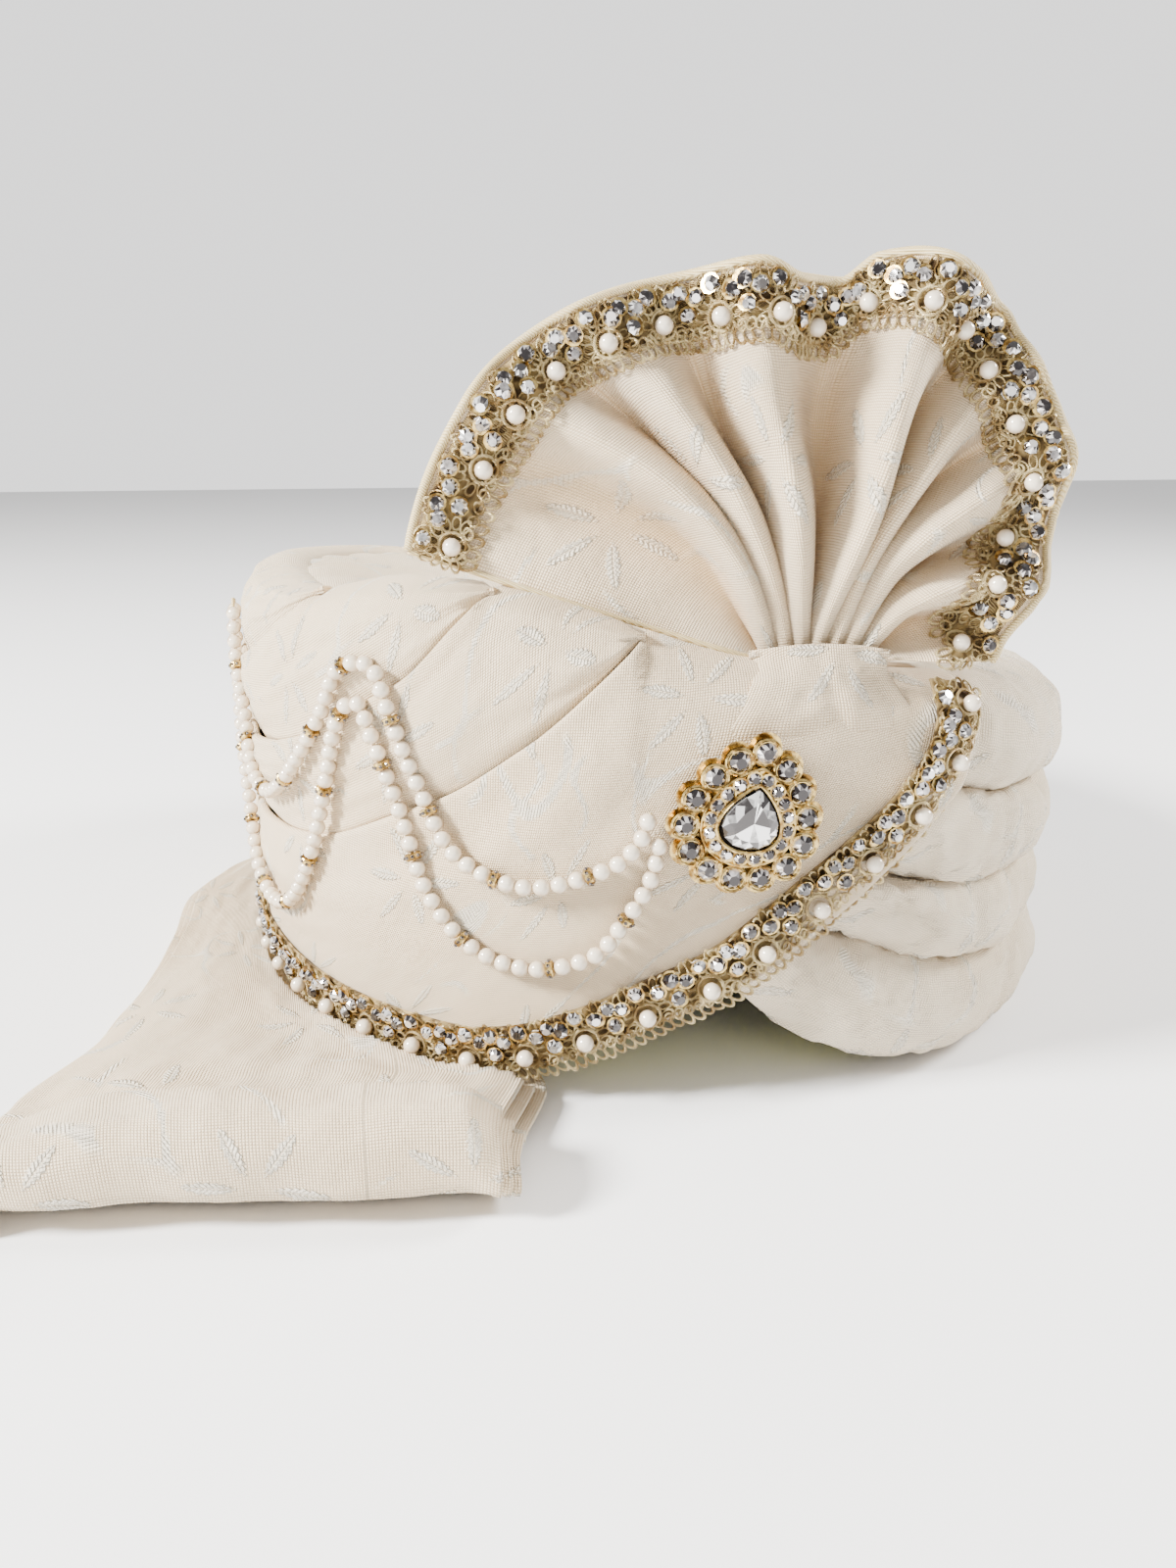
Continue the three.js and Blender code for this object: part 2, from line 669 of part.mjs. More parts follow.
// The cloth wrapped over the fan's gathered root, from the pleat's top edge up over the front of the fan
const WRAP_SECTION = [
  { up: -7, over: 0, isBack: true },
  { up: -7, over: 1.2 },
  { up: -1, over: 3.2 },
  { up: 3.5, over: 2 },
  { up: 3.5, over: 0, isBack: true },
  { up: -1, over: 0.4, isBack: true },
];
const fanRootFront = PLEAT_HEIGHT * FAN_ROWS[1].pleat + (FAN_CLOTH / 2) * FAN_ROWS[1].wall;
const wrapSections = [-0.62, -0.4, -0.13, 0.13, 0.4, 0.62].map((share) => {
  const right = share * FAN_ROOT_WIDTH;
  const here = fanPoint(right, 0, 0);
  const at = (Math.atan2(here.y, here.x) * 180) / Math.PI;
  const cloth = crownPoint(at, 0.95, PLEAT_STEP + LACE_GAP).sub(fanRoot).dot(fanForward);
  const round = 1 - 1.4 * Math.max(0, Math.abs(share) - 0.4);
  const front = Math.max(cloth, fanRootFront + GAP);
  return WRAP_SECTION.map(({ up, over }) => fanPoint(right, up * round, front + over * round));
});
addPiece("fan_base_wrap", loft(wrapSections), CLOTH);

// How far the cloth of the lowest pleat stands out at a place on the crown
function clothOut(at, up) {
  const low = lowestPleat.low(at);
  const high = lowestPleat.high(at);
  const across = (up - low) / (high - low);
  return PLEAT_STEP * readTable(PLEAT_SECTION, "across", across, "out");
}

// The lace along the lowest pleat's free edge and on round the foot to the seam behind
const brimPath = [...BRIM_LINE].reverse().filter((row) => row.up < 0.99 && row.up > 0);
const footAngles = pleatAngles.filter((at) => at < BRIM_LINE[0].at - 2);
brimPath.unshift({ at: brimAngle(0.975), up: 0.975 });
brimPath.push(BRIM_LINE[0], ...footAngles.map((at) => ({ at, up: 0 })));

function laceSection(row, i) {
  const before = brimPath[Math.max(0, i - 1)];
  const after = brimPath[Math.min(brimPath.length - 1, i + 1)];
  const run = crownPoint(after.at, after.up, 0).sub(crownPoint(before.at, before.up, 0));
  const outward = polar(row.at, 1, 0);
  const across = new THREE.Vector3().crossVectors(run, outward).normalize();
  const sideways = new THREE.Vector3().crossVectors(new THREE.Vector3(0, 0, 1), outward);
  const reach = crownReach(row.at, row.up);
  const place = (distance, height) => {
    const at = row.at + ((across.dot(sideways) * distance) / reach) * (180 / Math.PI);
    const up = row.up + (across.z * distance) / (topHeight(row.at) - footHeight(row.at));
    return crownPoint(at, up, clothOut(at, up) + LACE_GAP + height);
  };
  return [place(0, 0), place(0, LACE_THICKNESS), place(LACE_WIDTH, LACE_THICKNESS), place(LACE_WIDTH, 0)];
}

addPiece("brim_trim", loft(brimPath.map(laceSection)), LACE);

// The brooch: a pear plate in two tiers with round stones on both and one large pear stone, tip up
const wasm = await Module();
wasm.setup();

function solidOf(geometry) {
  const vertProperties = geometry.getAttribute("position").array;
  const triVerts = new Uint32Array(geometry.index.array);
  return new wasm.Manifold(new wasm.Mesh({ numProp: 3, vertProperties, triVerts }));
}

function geometryOf(solid) {
  const { vertProperties, triVerts } = solid.getMesh();
  const geometry = new THREE.BufferGeometry();
  geometry.setAttribute("position", new THREE.BufferAttribute(vertProperties, 3));
  geometry.setIndex(new THREE.BufferAttribute(triVerts, 1));
  geometry.computeVertexNormals();
  return geometry;
}

// A point of a pear outline; turns run from the tip right round
const PEAR_BELLY = 0.863; // widest place of the outline's formula
function pearPoint(turn, width, height) {
  const half = turn / 2;
  const x = (Math.sin(turn) * Math.sqrt(Math.sin(half))) / PEAR_BELLY;
  return new THREE.Vector2((width / 2) * x, (height / 2) * Math.cos(turn));
}

function pearLoop(width, height, level, sides) {
  return Array.from({ length: sides }, (_, i) => {
    const point = pearPoint((2 * Math.PI * (i + 0.5)) / sides, width, height);
    return new THREE.Vector3(point.x, point.y, level);
  });
}

// Places at even distances along a pear outline, from its tip
function pearPlaces(width, height, count) {
  const steps = 720;
  const turns = Array.from({ length: steps + 1 }, (_, i) => (2 * Math.PI * i) / steps);
  const fine = turns.map((turn) => pearPoint(turn, width, height));
  const lengths = [0];
  fine.slice(1).forEach((point, i) => lengths.push(lengths[i] + point.distanceTo(fine[i])));
  return Array.from({ length: count }, (_, i) => {
    const wanted = (lengths.at(-1) * i) / count;
    return fine[lengths.findIndex((length) => length >= wanted)];
  });
}

function roundLoop(centre, radius, level, sides) {
  return Array.from({ length: sides }, (_, i) => {
    const turn = (2 * Math.PI * i) / sides;
    return new THREE.Vector3(centre.x + radius * Math.cos(turn), centre.y + radius * Math.sin(turn), level);
  });
}

const TABLE = 0.55; // a stone's flat table, as a share of its width
const STONE_SIDES = 8;
const SUNK = 0.2; // depth of a stone or tier in what holds it
const INNER_TIER = 1.1;

function roundStone(centre, diameter, level) {
  const girdle = roundLoop(centre, diameter / 2, level - SUNK, STONE_SIDES);
  return loft([girdle, roundLoop(centre, (diameter / 2) * TABLE, level + diameter * 0.28, STONE_SIDES)]);
}

const outerStone = BROOCH_WIDTH * 0.18;
const innerStone = BROOCH_WIDTH * 0.098;
const innerWidth = BROOCH_WIDTH * 0.5;
const innerHeight = BROOCH_HEIGHT * 0.51;
const PLATE_SIDES = 22;
const plate = (width, height, low, high) =>
  loft([low, high].map((level) => pearLoop(width, height, level, PLATE_SIDES)));
const stoneLine = [BROOCH_WIDTH - outerStone, BROOCH_HEIGHT - outerStone];
const tierTop = BROOCH_PLATE + INNER_TIER;
const centreWidth = BROOCH_WIDTH * 0.36;
const centreHeight = BROOCH_HEIGHT * 0.38;
const centreStone = loft([
  pearLoop(centreWidth, centreHeight, tierTop - SUNK, 12),
  pearLoop(centreWidth, centreHeight, tierTop + 0.8, 12),
  pearLoop(centreWidth * 0.6, centreHeight * 0.6, tierTop + 2.6, 12),
]);
const broochPieces = [
  plate(BROOCH_WIDTH, BROOCH_HEIGHT, 0, BROOCH_PLATE),
  plate(innerWidth + innerStone * 1.25, innerHeight + innerStone * 1.25, BROOCH_PLATE - SUNK, tierTop),
  ...pearPlaces(...stoneLine, 14).map((centre) => roundStone(centre, outerStone, BROOCH_PLATE)),
  ...pearPlaces(innerWidth, innerHeight, 17).map((centre) => roundStone(centre, innerStone, tierTop)),
  centreStone,
];
const broochSolid = broochPieces.map(solidOf).reduce((whole, piece) => whole.add(piece));
const brooch = addPiece("brooch", geometryOf(broochSolid), BRASS);

// Its place: flat against the lowest pleat, tip up and leaning to the wearer's left
const BROOCH_AT = { at: -94.7, up: 0.69 };
const BROOCH_TILT = -12;
const nearBrooch = [0.1, -0.1].map((step) => crownPoint(BROOCH_AT.at, BROOCH_AT.up + step, 0));
const broochUp = nearBrooch[0].sub(nearBrooch[1]).normalize();
const broochRight = polar(BROOCH_AT.at + 90, 1, 0);
const broochOut = new THREE.Vector3().crossVectors(broochRight, broochUp);
brooch.quaternion.setFromRotationMatrix(new THREE.Matrix4().makeBasis(broochRight, broochUp, broochOut));
brooch.rotateZ(degrees(BROOCH_TILT));
brooch.position.copy(
  crownPoint(BROOCH_AT.at, BROOCH_AT.up, clothOut(BROOCH_AT.at, BROOCH_AT.up) + LACE_GAP),
);

// Strings of pearls: a chain of bead shapes on one line, with a gold ring after every fifth pearl
const PEARLS_BETWEEN = 5;
const BEAD_SIDES = 10;
const BEAD_NECK = 0.34; // of a pearl's radius, where two beads meet
const RONDELLE_LENGTH = 0.45;
const RONDELLE_WIDTH = 1.15;

function strand(route) {
  const out = PLEAT_STEP + LACE_GAP + GAP + PEARL / 2;
  const points = route.map(({ at, up }) => crownPoint(at, up, out));
  const line = new THREE.CatmullRomCurve3(points, false, "centripetal");
  const whole = line.getLength();
  const sections = [];
  const addRing = (distance, radius) => {
    const share = Math.min(1, distance / whole);
    const centre = line.getPointAt(share);
    const along = line.getTangentAt(share);
    const outward = new THREE.Vector3(centre.x, centre.y, 0).projectOnPlane(along).normalize();
    const side = new THREE.Vector3().crossVectors(along, outward);
    const turns = Array.from({ length: BEAD_SIDES }, (_, i) => (2 * Math.PI * i) / BEAD_SIDES);
    sections.push(
      turns.map((turn) =>
        centre
          .clone()
          .addScaledVector(outward, radius * Math.cos(turn))
          .addScaledVector(side, radius * Math.sin(turn)),
      ),
    );
  };
  let place = 0;
  for (let bead = 0; place < whole - PEARL; bead++) {
    const isRondelle = bead % (PEARLS_BETWEEN + 1) === PEARLS_BETWEEN;
    const length = isRondelle ? PEARL * RONDELLE_LENGTH : PEARL;
    addRing(place, (PEARL / 2) * BEAD_NECK);
    addRing(place + length / 2, (PEARL / 2) * (isRondelle ? RONDELLE_WIDTH : 1));
    place += length;
  }
  addRing(place, (PEARL / 2) * BEAD_NECK);
  return loft(sections);
}

for (const name of ["upper", "lower"]) addPiece("pearl_strand_" + name, strand(STRAND_ROUTES[name]), PEARLS);

// The tail: a folded strip with a flat underside, low under the crown's foot and rolled up in front
const underFoot = LACE_GAP + LACE_THICKNESS + PLEAT_STEP;

function tailEdge(at, place) {
  const foot = crownReach(at, 0);
  if (place < 0) return polar(at, mix(foot, linerRadius(at, LINER_WALL + 1), -place), 0);
  return polar(at, foot + underFoot + place * TAIL_REACH, 0);
}

const angleOf = (point) => {
  const at = (Math.atan2(point.y, point.x) * 180) / Math.PI;
  return at > 0 ? at - 360 : at;
};
const isUnderCrown = (point) => Math.hypot(point.x, point.y) <= crownReach(angleOf(point), 0) + underFoot;

function tailSection({ leftAt, left, rightAt, right, lift }) {
  const leftEdge = tailEdge(leftAt, left);
  const rightEdge = tailEdge(rightAt, right);
  let footShare = 0.5;
  if (right < 0) {
    let [outside, inside] = [0, 1];
    for (let i = 0; i < SEARCH_STEPS; i++) {
      footShare = (outside + inside) / 2;
      if (isUnderCrown(leftEdge.clone().lerp(rightEdge, footShare))) inside = footShare;
      else outside = footShare;
    }
  }
  const shares = [0, footShare * 0.45, footShare, mix(footShare, 1, 0.5), 1];
  const heights = [0.75, 1, 0.95, 1, 0.85];
  const top = shares.map((share, i) => {
    const point = leftEdge.clone().lerp(rightEdge, share);
    const height = TAIL_ROLL_HEIGHT * lift * heights[i];
    const isCovered = right < 0 && share >= footShare;
    return point.setZ(isCovered ? Math.min(height, footHeight(angleOf(point)) - GAP) : height);
  });
  return [leftEdge, ...top, rightEdge];
}

addPiece("tail", loft(TAIL_SECTIONS.map(tailSection)), CLOTH);

// The whole stands on the ground with the middle of its outline over the origin
const extent = new THREE.Box3().setFromObject(model);
const middle = extent.getCenter(new THREE.Vector3());
model.position.set(-middle.x, -middle.y, -extent.min.z);

export default model;
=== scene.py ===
import bisect
import math
import random

import bmesh
import bpy
from mathutils import Matrix, Vector, noise


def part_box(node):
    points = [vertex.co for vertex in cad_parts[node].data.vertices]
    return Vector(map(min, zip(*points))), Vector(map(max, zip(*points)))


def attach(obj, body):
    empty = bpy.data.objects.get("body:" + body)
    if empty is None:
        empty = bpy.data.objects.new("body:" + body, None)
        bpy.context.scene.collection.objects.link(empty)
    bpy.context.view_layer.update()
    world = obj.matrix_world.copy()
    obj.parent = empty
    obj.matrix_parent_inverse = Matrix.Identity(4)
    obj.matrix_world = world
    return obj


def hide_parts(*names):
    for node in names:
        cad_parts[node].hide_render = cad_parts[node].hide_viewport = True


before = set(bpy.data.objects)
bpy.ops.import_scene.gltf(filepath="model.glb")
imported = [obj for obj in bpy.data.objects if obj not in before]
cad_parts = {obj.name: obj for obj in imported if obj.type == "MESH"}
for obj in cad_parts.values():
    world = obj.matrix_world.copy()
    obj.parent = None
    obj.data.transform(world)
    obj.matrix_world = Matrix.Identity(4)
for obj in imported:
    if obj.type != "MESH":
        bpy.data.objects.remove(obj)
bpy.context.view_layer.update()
capLow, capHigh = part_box("crown_cap")
middle = Vector(((capLow.x + capHigh.x) / 2, (capLow.y + capHigh.y) / 2, 0))  # the head's centre on the ground
print("frame loaded, head centre at", tuple(round(c, 4) for c in middle))


# Small tools

def mix(a, b, share):
    return a + (b - a) * share


def ease(share):
    share = min(1, max(0, share))
    return share * share * (3 - 2 * share)


def smoothLine(rows):
    # a curve through the rows that never overshoots them
    xs = [row[0] for row in rows]
    ys = [row[1] for row in rows]
    steps = [(ys[i + 1] - ys[i]) / (xs[i + 1] - xs[i]) for i in range(len(xs) - 1)]
    inner = [0 if a * b <= 0 else 2 * a * b / (a + b) for a, b in zip(steps, steps[1:])]
    slopes = [steps[0], *inner, steps[-1]]

    def read(x):
        if x <= xs[0]:
            return ys[0]
        if x >= xs[-1]:
            return ys[-1]
        i = bisect.bisect_right(xs, x) - 1
        wide = xs[i + 1] - xs[i]
        t = (x - xs[i]) / wide
        a = (1 + 2 * t) * (1 - t) ** 2 * ys[i] + t * (1 - t) ** 2 * wide * slopes[i]
        b = t * t * (3 - 2 * t) * ys[i + 1] + t * t * (t - 1) * wide * slopes[i + 1]
        return a + b

    return read


def wander(x, y, seed):
    # soft noise from -1 to 1
    return noise.noise(Vector((x, y, seed * 7.31)))


def wanderRound(at, x, seed, size):
    # the same, closed round the head
    turn = math.radians(at)
    return noise.noise(Vector((math.cos(turn) * size, math.sin(turn) * size, x + seed * 7.31)))


def addWall(piece, wall, inward=True):
    solid = piece.modifiers.new("cloth wall", "SOLIDIFY")
    solid.thickness = wall
    solid.offset = -1 if inward else 0


def makePiece(name, mesh, material, smooth=True):
    data = bpy.data.meshes.new(name)
    mesh.to_mesh(data)
    mesh.free()
    data.materials.append(material)
    data.polygons.foreach_set("use_smooth", [smooth] * len(data.polygons))
    piece = bpy.data.objects.new(name, data)
    bpy.context.scene.collection.objects.link(piece)
    return piece


def register(piece, slotName, replaced=None):
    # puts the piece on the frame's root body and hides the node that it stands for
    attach(piece, "root")
    if replaced:
        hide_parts(replaced)
    return piece


def sheetPiece(name, mesh, material, wall, replaced=None, slotName="cloth", inward=True, **sheet):
    piece = makePiece(name, mesh, material)
    addWall(piece, wall, inward)
    register(piece, slotName, replaced)
    print(name, "area", round(sum(face.area for face in piece.data.polygons), 5))


def sheetMesh(columns, rows, place, facing, ring=False, plan=False, paintedShade=None):
    # a grid whose points go where place(u, v) says, with a UV map in metres of cloth
    mesh = bmesh.new()
    paintedShadeLayer = mesh.verts.layers.float.new("paintedFoldShade") if paintedShade else None
    bmesh.ops.create_grid(mesh, x_segments=columns, y_segments=rows, size=1)
    spots = {}
    for vert in mesh.verts:
        spots[vert] = (round((vert.co.x + 1) / 2 * columns), round((vert.co.y + 1) / 2 * rows))
        i, j = spots[vert]
        vert.co = place(i / columns, j / rows)
    grid = {spot: vert.co.copy() for vert, spot in spots.items()}
    along = [0]
    halfway = rows // 2
    for i in range(columns):
        along.append(along[-1] + (grid[i + 1, halfway] - grid[i, halfway]).length)
    across = {}
    for i in range(columns + 1):
        across[i, 0] = 0
        for j in range(rows):
            across[i, j + 1] = across[i, j] + (grid[i, j + 1] - grid[i, j]).length
    clothMap = mesh.loops.layers.uv.new("cloth")
    for face in mesh.faces:
        for loop in face.loops:
            i, j = spots[loop.vert]
            point = grid[i, j]
            loop[clothMap].uv = (point.x, point.y) if plan else (along[i], across[i, j])
    # painted shade: each point keeps how much of the fold colour it gets
    if paintedShade:
        for vert, (i, j) in spots.items():
            vert[paintedShadeLayer] = paintedShade(i / columns, j / rows)
    mesh.normal_update()
    lean = sum(face.normal.dot(facing(face.calc_center_median())) * face.calc_area() for face in mesh.faces)
    if lean < 0:
        bmesh.ops.reverse_faces(mesh, faces=mesh.faces[:])
    if ring or plan:
        bmesh.ops.remove_doubles(mesh, verts=mesh.verts[:], dist=1e-6)
    return mesh


def outOfHead(point):
    return Vector((point.x - middle.x, point.y - middle.y, 0)).normalized()


def upwards(point):
    return Vector((0, 0, 1))


def angleOf(point):
    return math.degrees(math.atan2(point.y - middle.y, point.x - middle.x))


def wrapped(at):
    # the same angle, never over 180
    return at - 360 if at > 180 else at


# The crown's surface: an angle round the head, a share of its height and a distance outward

crown = {
    "rollSide": 0.116,
    "pleatSide": 0.122,
    "halfLength": 0.137,
    "squareness": 2.3,
    "rightTop": 0.119,
    "leftTop": 0.092,
    "rightFoot": 0.006,
    "frontRise": 0.011,
    "headHalfWidth": 0.084,
    "headHalfLength": 0.102,
    "headDepth": 0.088,
    "seam": 125,
}
profileLine = smoothLine([(0, 0.98), (0.25, 0.985), (0.5, 0.987), (0.75, 1), (0.9, 0.99), (1, 0.955)])
riseLine = smoothLine([(-152, 0), (-143, 0.3), (-129, 0.93), (-119, 1), (-104, 0.43), (-95, 0.08), (-88, 0)])


def planRadius(at, halfWidth, halfLength):
    turn = math.radians(at)
    across = (abs(math.cos(turn)) / halfWidth) ** crown["squareness"]
    along = (abs(math.sin(turn)) / halfLength) ** crown["squareness"]
    return (across + along) ** (-1 / crown["squareness"])


def footHeight(at):
    return crown["rightFoot"] / 2 * (1 - math.cos(math.radians(at)))


def rimHeight(at):
    share = 0.5 - math.cos(math.radians(at)) / 2
    return mix(crown["leftTop"], crown["rightTop"], share) + crown["frontRise"] * riseLine(wrapped(at))


def heightAt(at, up):
    return mix(footHeight(at), rimHeight(at), up)


def polar(at, radius, height):
    turn = math.radians(at)
    return middle + Vector((radius * math.cos(turn), radius * math.sin(turn), height))


def crownReach(at, up):
    side = crown["rollSide"] if math.cos(math.radians(at)) > 0 else crown["pleatSide"]
    return planRadius(at, side, crown["halfLength"]) * profileLine(up)


def crownPoint(at, up, out=0, lift=0):
    return polar(at, crownReach(at, up) + out, heightAt(at, up) + lift)


def headRadius(at, out=0):
    return planRadius(at, crown["headHalfWidth"], crown["headHalfLength"]) + out


brimRows = [
    (-121, 0), (-114, 0.035), (-106, 0.11), (-101, 0.17), (-95, 0.245), (-90, 0.335), (-85, 0.435),
    (-80, 0.54), (-75, 0.665), (-71, 0.805), (-69.5, 0.92), (-69, 1),
]
archTop = (-95, 0.245)
brimUp = smoothLine(brimRows)
brimAngle = smoothLine([(up, at) for at, up in brimRows])
archLeft = smoothLine([(-95, 0.245), (-89, 0.13), (-85, 0.085), (-78, 0.03), (-70, 0)])
pleatEdges = [
    smoothLine([(-235, 0.44), (-200, 0.415), (-175, 0.405), (-143, 0.455), (-125, 0.58), (-115, 0.725), (-104, 1)]),
    smoothLine([(-235, 0.63), (-200, 0.595), (-175, 0.585), (-149, 0.66), (-129, 0.8), (-119, 1)]),
    smoothLine([(-235, 0.81), (-200, 0.785), (-175, 0.775), (-160, 0.84), (-143, 1)]),
]
rollCreases = [
    smoothLine([(-92, 0.46), (-86, 0.385), (-79, 0.34), (-70, 0.27), (-55, 0.25), (0, 0.25), (125, 0.23)]),
    smoothLine([(-84, 0.55), (-79, 0.525), (-70, 0.465), (-55, 0.455), (0, 0.48), (125, 0.47)]),
    smoothLine([(-72, 0.735), (-60, 0.69), (0, 0.69), (125, 0.69)]),
]


def lowerEdge(at):
    at = wrapped(at)
    return brimUp(at) if at < archTop[0] else archLeft(at)


# Node tools: sums are written with plain signs, and the nodes are made in the tree of the values

class Value:
    # a node's output, with which sums are written
    def __init__(self, socket):
        self.socket, self.tree = socket, socket.id_data

    def __abs__(self):
        return calc("ABSOLUTE", self)

    def __add__(self, other):
        return calc("ADD", self, other)

    def __sub__(self, other):
        return calc("SUBTRACT", self, other)

    def __rsub__(self, other):
        return calc("SUBTRACT", other, self)

    def __mul__(self, other):
        return calc("MULTIPLY", self, other)

    def __truediv__(self, other):
        return calc("DIVIDE", self, other)

    def __pow__(self, other):
        return calc("POWER", self, other)


def feed(node, values):
    # links values to a node's inputs, and sets plain numbers and colours on them
    for name, value in values.items():
        socket = node.inputs[name]
        if isinstance(value, Value):
            value.tree.links.new(value.socket, socket)
        else:
            socket.default_value = (*value, 1) if socket.type == "RGBA" else value
    return node


def newNode(tree, kind, output, inputs, **settings):
    node = tree.nodes.new("ShaderNode" + kind)
    for name, value in settings.items():
        setattr(node, name, value)
    return Value(feed(node, inputs).outputs[output])


def calc(operation, *values):
    tree = next(value.tree for value in values if isinstance(value, Value))
    return newNode(tree, "Math", 0, dict(enumerate(values)), operation=operation)


def vectorCalc(operation, first, second):
    return newNode(first.tree, "VectorMath", 0, {0: first, 1: second}, operation=operation)


def spread(value, low, high):
    # 0 below low, 1 above high and soft between
    ends = {"Value": value, "From Min": low, "From Max": high}
    return newNode(value.tree, "MapRange", "Result", ends, interpolation_type="SMOOTHSTEP")


def blend(share, first, second):
    node = share.tree.nodes.new("ShaderNodeMix")
    node.data_type = "RGBA"
    return Value(feed(node, {0: share, 6: first, 7: second}).outputs[2])


def cloudiness(where, size, detail=2.0):
    return newNode(where.tree, "TexNoise", "Fac", {"Vector": where, "Scale": 1 / size, "Detail": detail})


def attribute(where, name):
    return newNode(where.tree, "Attribute", "Fac", {}, attribute_name=name)


def bump(height, depth):
    return newNode(height.tree, "Bump", 0, {"Height": height, "Distance": depth, "Strength": 1.0})


def axes(where):
    node = feed(where.tree.nodes.new("ShaderNodeSeparateXYZ"), {0: where})
    return [Value(output) for output in node.outputs]


# Shared effects

def newGroup(name, inputs, outputs):
    # a group that takes a place and some numbers, and puts out values
    group = bpy.data.node_groups.new(name, "ShaderNodeTree")
    group.interface.new_socket(name="Where", in_out="INPUT", socket_type="NodeSocketVector")
    for socketName, value in inputs.items():
        socket = group.interface.new_socket(name=socketName, in_out="INPUT", socket_type="NodeSocketFloat")
        socket.default_value = value
    for socketName in outputs:
        group.interface.new_socket(name=socketName, in_out="OUTPUT", socket_type="NodeSocketFloat")
    start, end = group.nodes.new("NodeGroupInput"), group.nodes.new("NodeGroupOutput")
    return group, end, [Value(start.outputs[socketName]) for socketName in ("Where", *inputs)]


def useGroup(group, where, **values):
    node = where.tree.nodes.new("ShaderNodeGroup")
    node.node_tree = group
    feed(node, {"Where": where, **{name.capitalize(): value for name, value in values.items()}})
    return [Value(output) for output in node.outputs]


def makeWeaveGroup():
    # plain square weave: height of the threads from the cloth map
    group, end, (where, thread) = newGroup("square weave", {"Thread": 0.00065}, ["Height"])
    x, y, _ = axes(where)
    warp, weft = [abs(calc("SINE", axis / thread * math.pi)) for axis in (x, y)]
    feed(end, {"Height": (warp * weft) ** 0.6})
    return group


def makeSprigGroup():
    # woven figure: leaf sprigs scattered in cells, and stepped vines between them
    group, end, (where, cell, shift) = newGroup("woven sprigs", {"Cell": 0.047, "Shift": 0.0}, ["Figure", "Satin"])
    x, y, _ = axes(where)
    y = y / cell + shift
    row = calc("FLOOR", y)
    x = x / cell + shift + row * 0.5
    corner = newNode(group, "CombineXYZ", 0, {0: calc("FLOOR", x), 1: row})
    turn = newNode(group, "TexWhiteNoise", "Value", {"Vector": corner}) * math.tau
    localX, localY = calc("FRACT", x) - 0.5, calc("FRACT", y) - 0.5
    radius = calc("SQRT", abs(localX) ** 2.0 + abs(localY) ** 2.0)
    leafTurn = math.tau / 6  # six leaves to a sprig
    sector = calc("FRACT", (calc("ARCTAN2", localY, localX) + turn) / leafTurn)
    fromLeaf = (sector - 0.5) * leafTurn
    along, across = radius * calc("COSINE", fromLeaf), abs(radius * calc("SINE", fromLeaf))
    width = (1.0 - abs((along - 0.2) / 0.13) ** 2.0) * 0.034
    barbs = calc("SINE", (along + across) * 170.0) * 0.0045
    leaf = spread(width - across + barbs, 0.0, 0.009) * (spread(across, 0.002, 0.007) * 0.55 + 0.45)
    stepped = vectorCalc("SNAP", where, (0.0008, 0.0008, 1))
    stepped = vectorCalc("ADD", stepped, (0, 0, 0.0123))  # off the noise's own grid
    shifted = vectorCalc("ADD", stepped, (0.37, 0.71, 0.0052))
    vine = 1.0 - spread(abs(cloudiness(stepped, 0.033, 0.0) - 0.5), 0.009, 0.016)
    twig = 1.0 - spread(abs(cloudiness(shifted, 0.024, 0.0) - 0.5), 0.010, 0.018)
    twig = twig * spread(cloudiness(shifted, 0.03, 0.0), 0.52, 0.56)
    shown = spread(cloudiness(where, 0.05, 0.0), 0.40, 0.46)
    vine = calc("MAXIMUM", vine, twig) * shown * spread(radius, 0.3, 0.36)
    figure = calc("MAXIMUM", leaf, vine)
    ridges = calc("SINE", (along - across) * 260.0)
    feed(end, {"Figure": figure, "Satin": figure * (ridges * 0.25 + 0.75)})
    return group


def makeWindGroup():
    # fine twist of gold thread from the place on the object
    group, end, (where, thread) = newGroup("wound thread", {"Thread": 0.0004}, ["Height"])
    x, y, z = axes(where)
    feed(end, {"Height": calc("SINE", (x + y + z * 1.3) / thread * math.tau)})
    return group


weaveGroup, sprigGroup, windGroup = makeWeaveGroup(), makeSprigGroup(), makeWindGroup()


# Materials

def startMaterial(name, onCloth=False):
    material = bpy.data.materials.new(name)
    material.use_nodes = True
    tree = material.node_tree
    if onCloth:
        where = newNode(tree, "UVMap", 0, {}, uv_map="cloth")
    else:
        where = newNode(tree, "TexCoord", "Object", {})
    return material, tree.nodes["Principled BSDF"], where


ivoryLook = {
    "thread": 0.00065,
    "cell": 0.047,
    "shift": 0.0,
    # painted shade: the darker colour down between the threads of the weave
    "gap": (0.56, 0.39, 0.21),
    "ground": (0.87, 0.745, 0.54),
    "warm": (0.80, 0.60, 0.36),
    "figure": (0.95, 0.87, 0.70),
    # painted shade: the warm dark colour laid into the fan's fold valleys
    "fold": (0.62, 0.38, 0.16),
    "paintedFoldShadeAmount": 0.85,
    "rough": 0.68,
    "shine": 0.26,
    "sheen": 0.25,
    "depth": 0.0012,
}


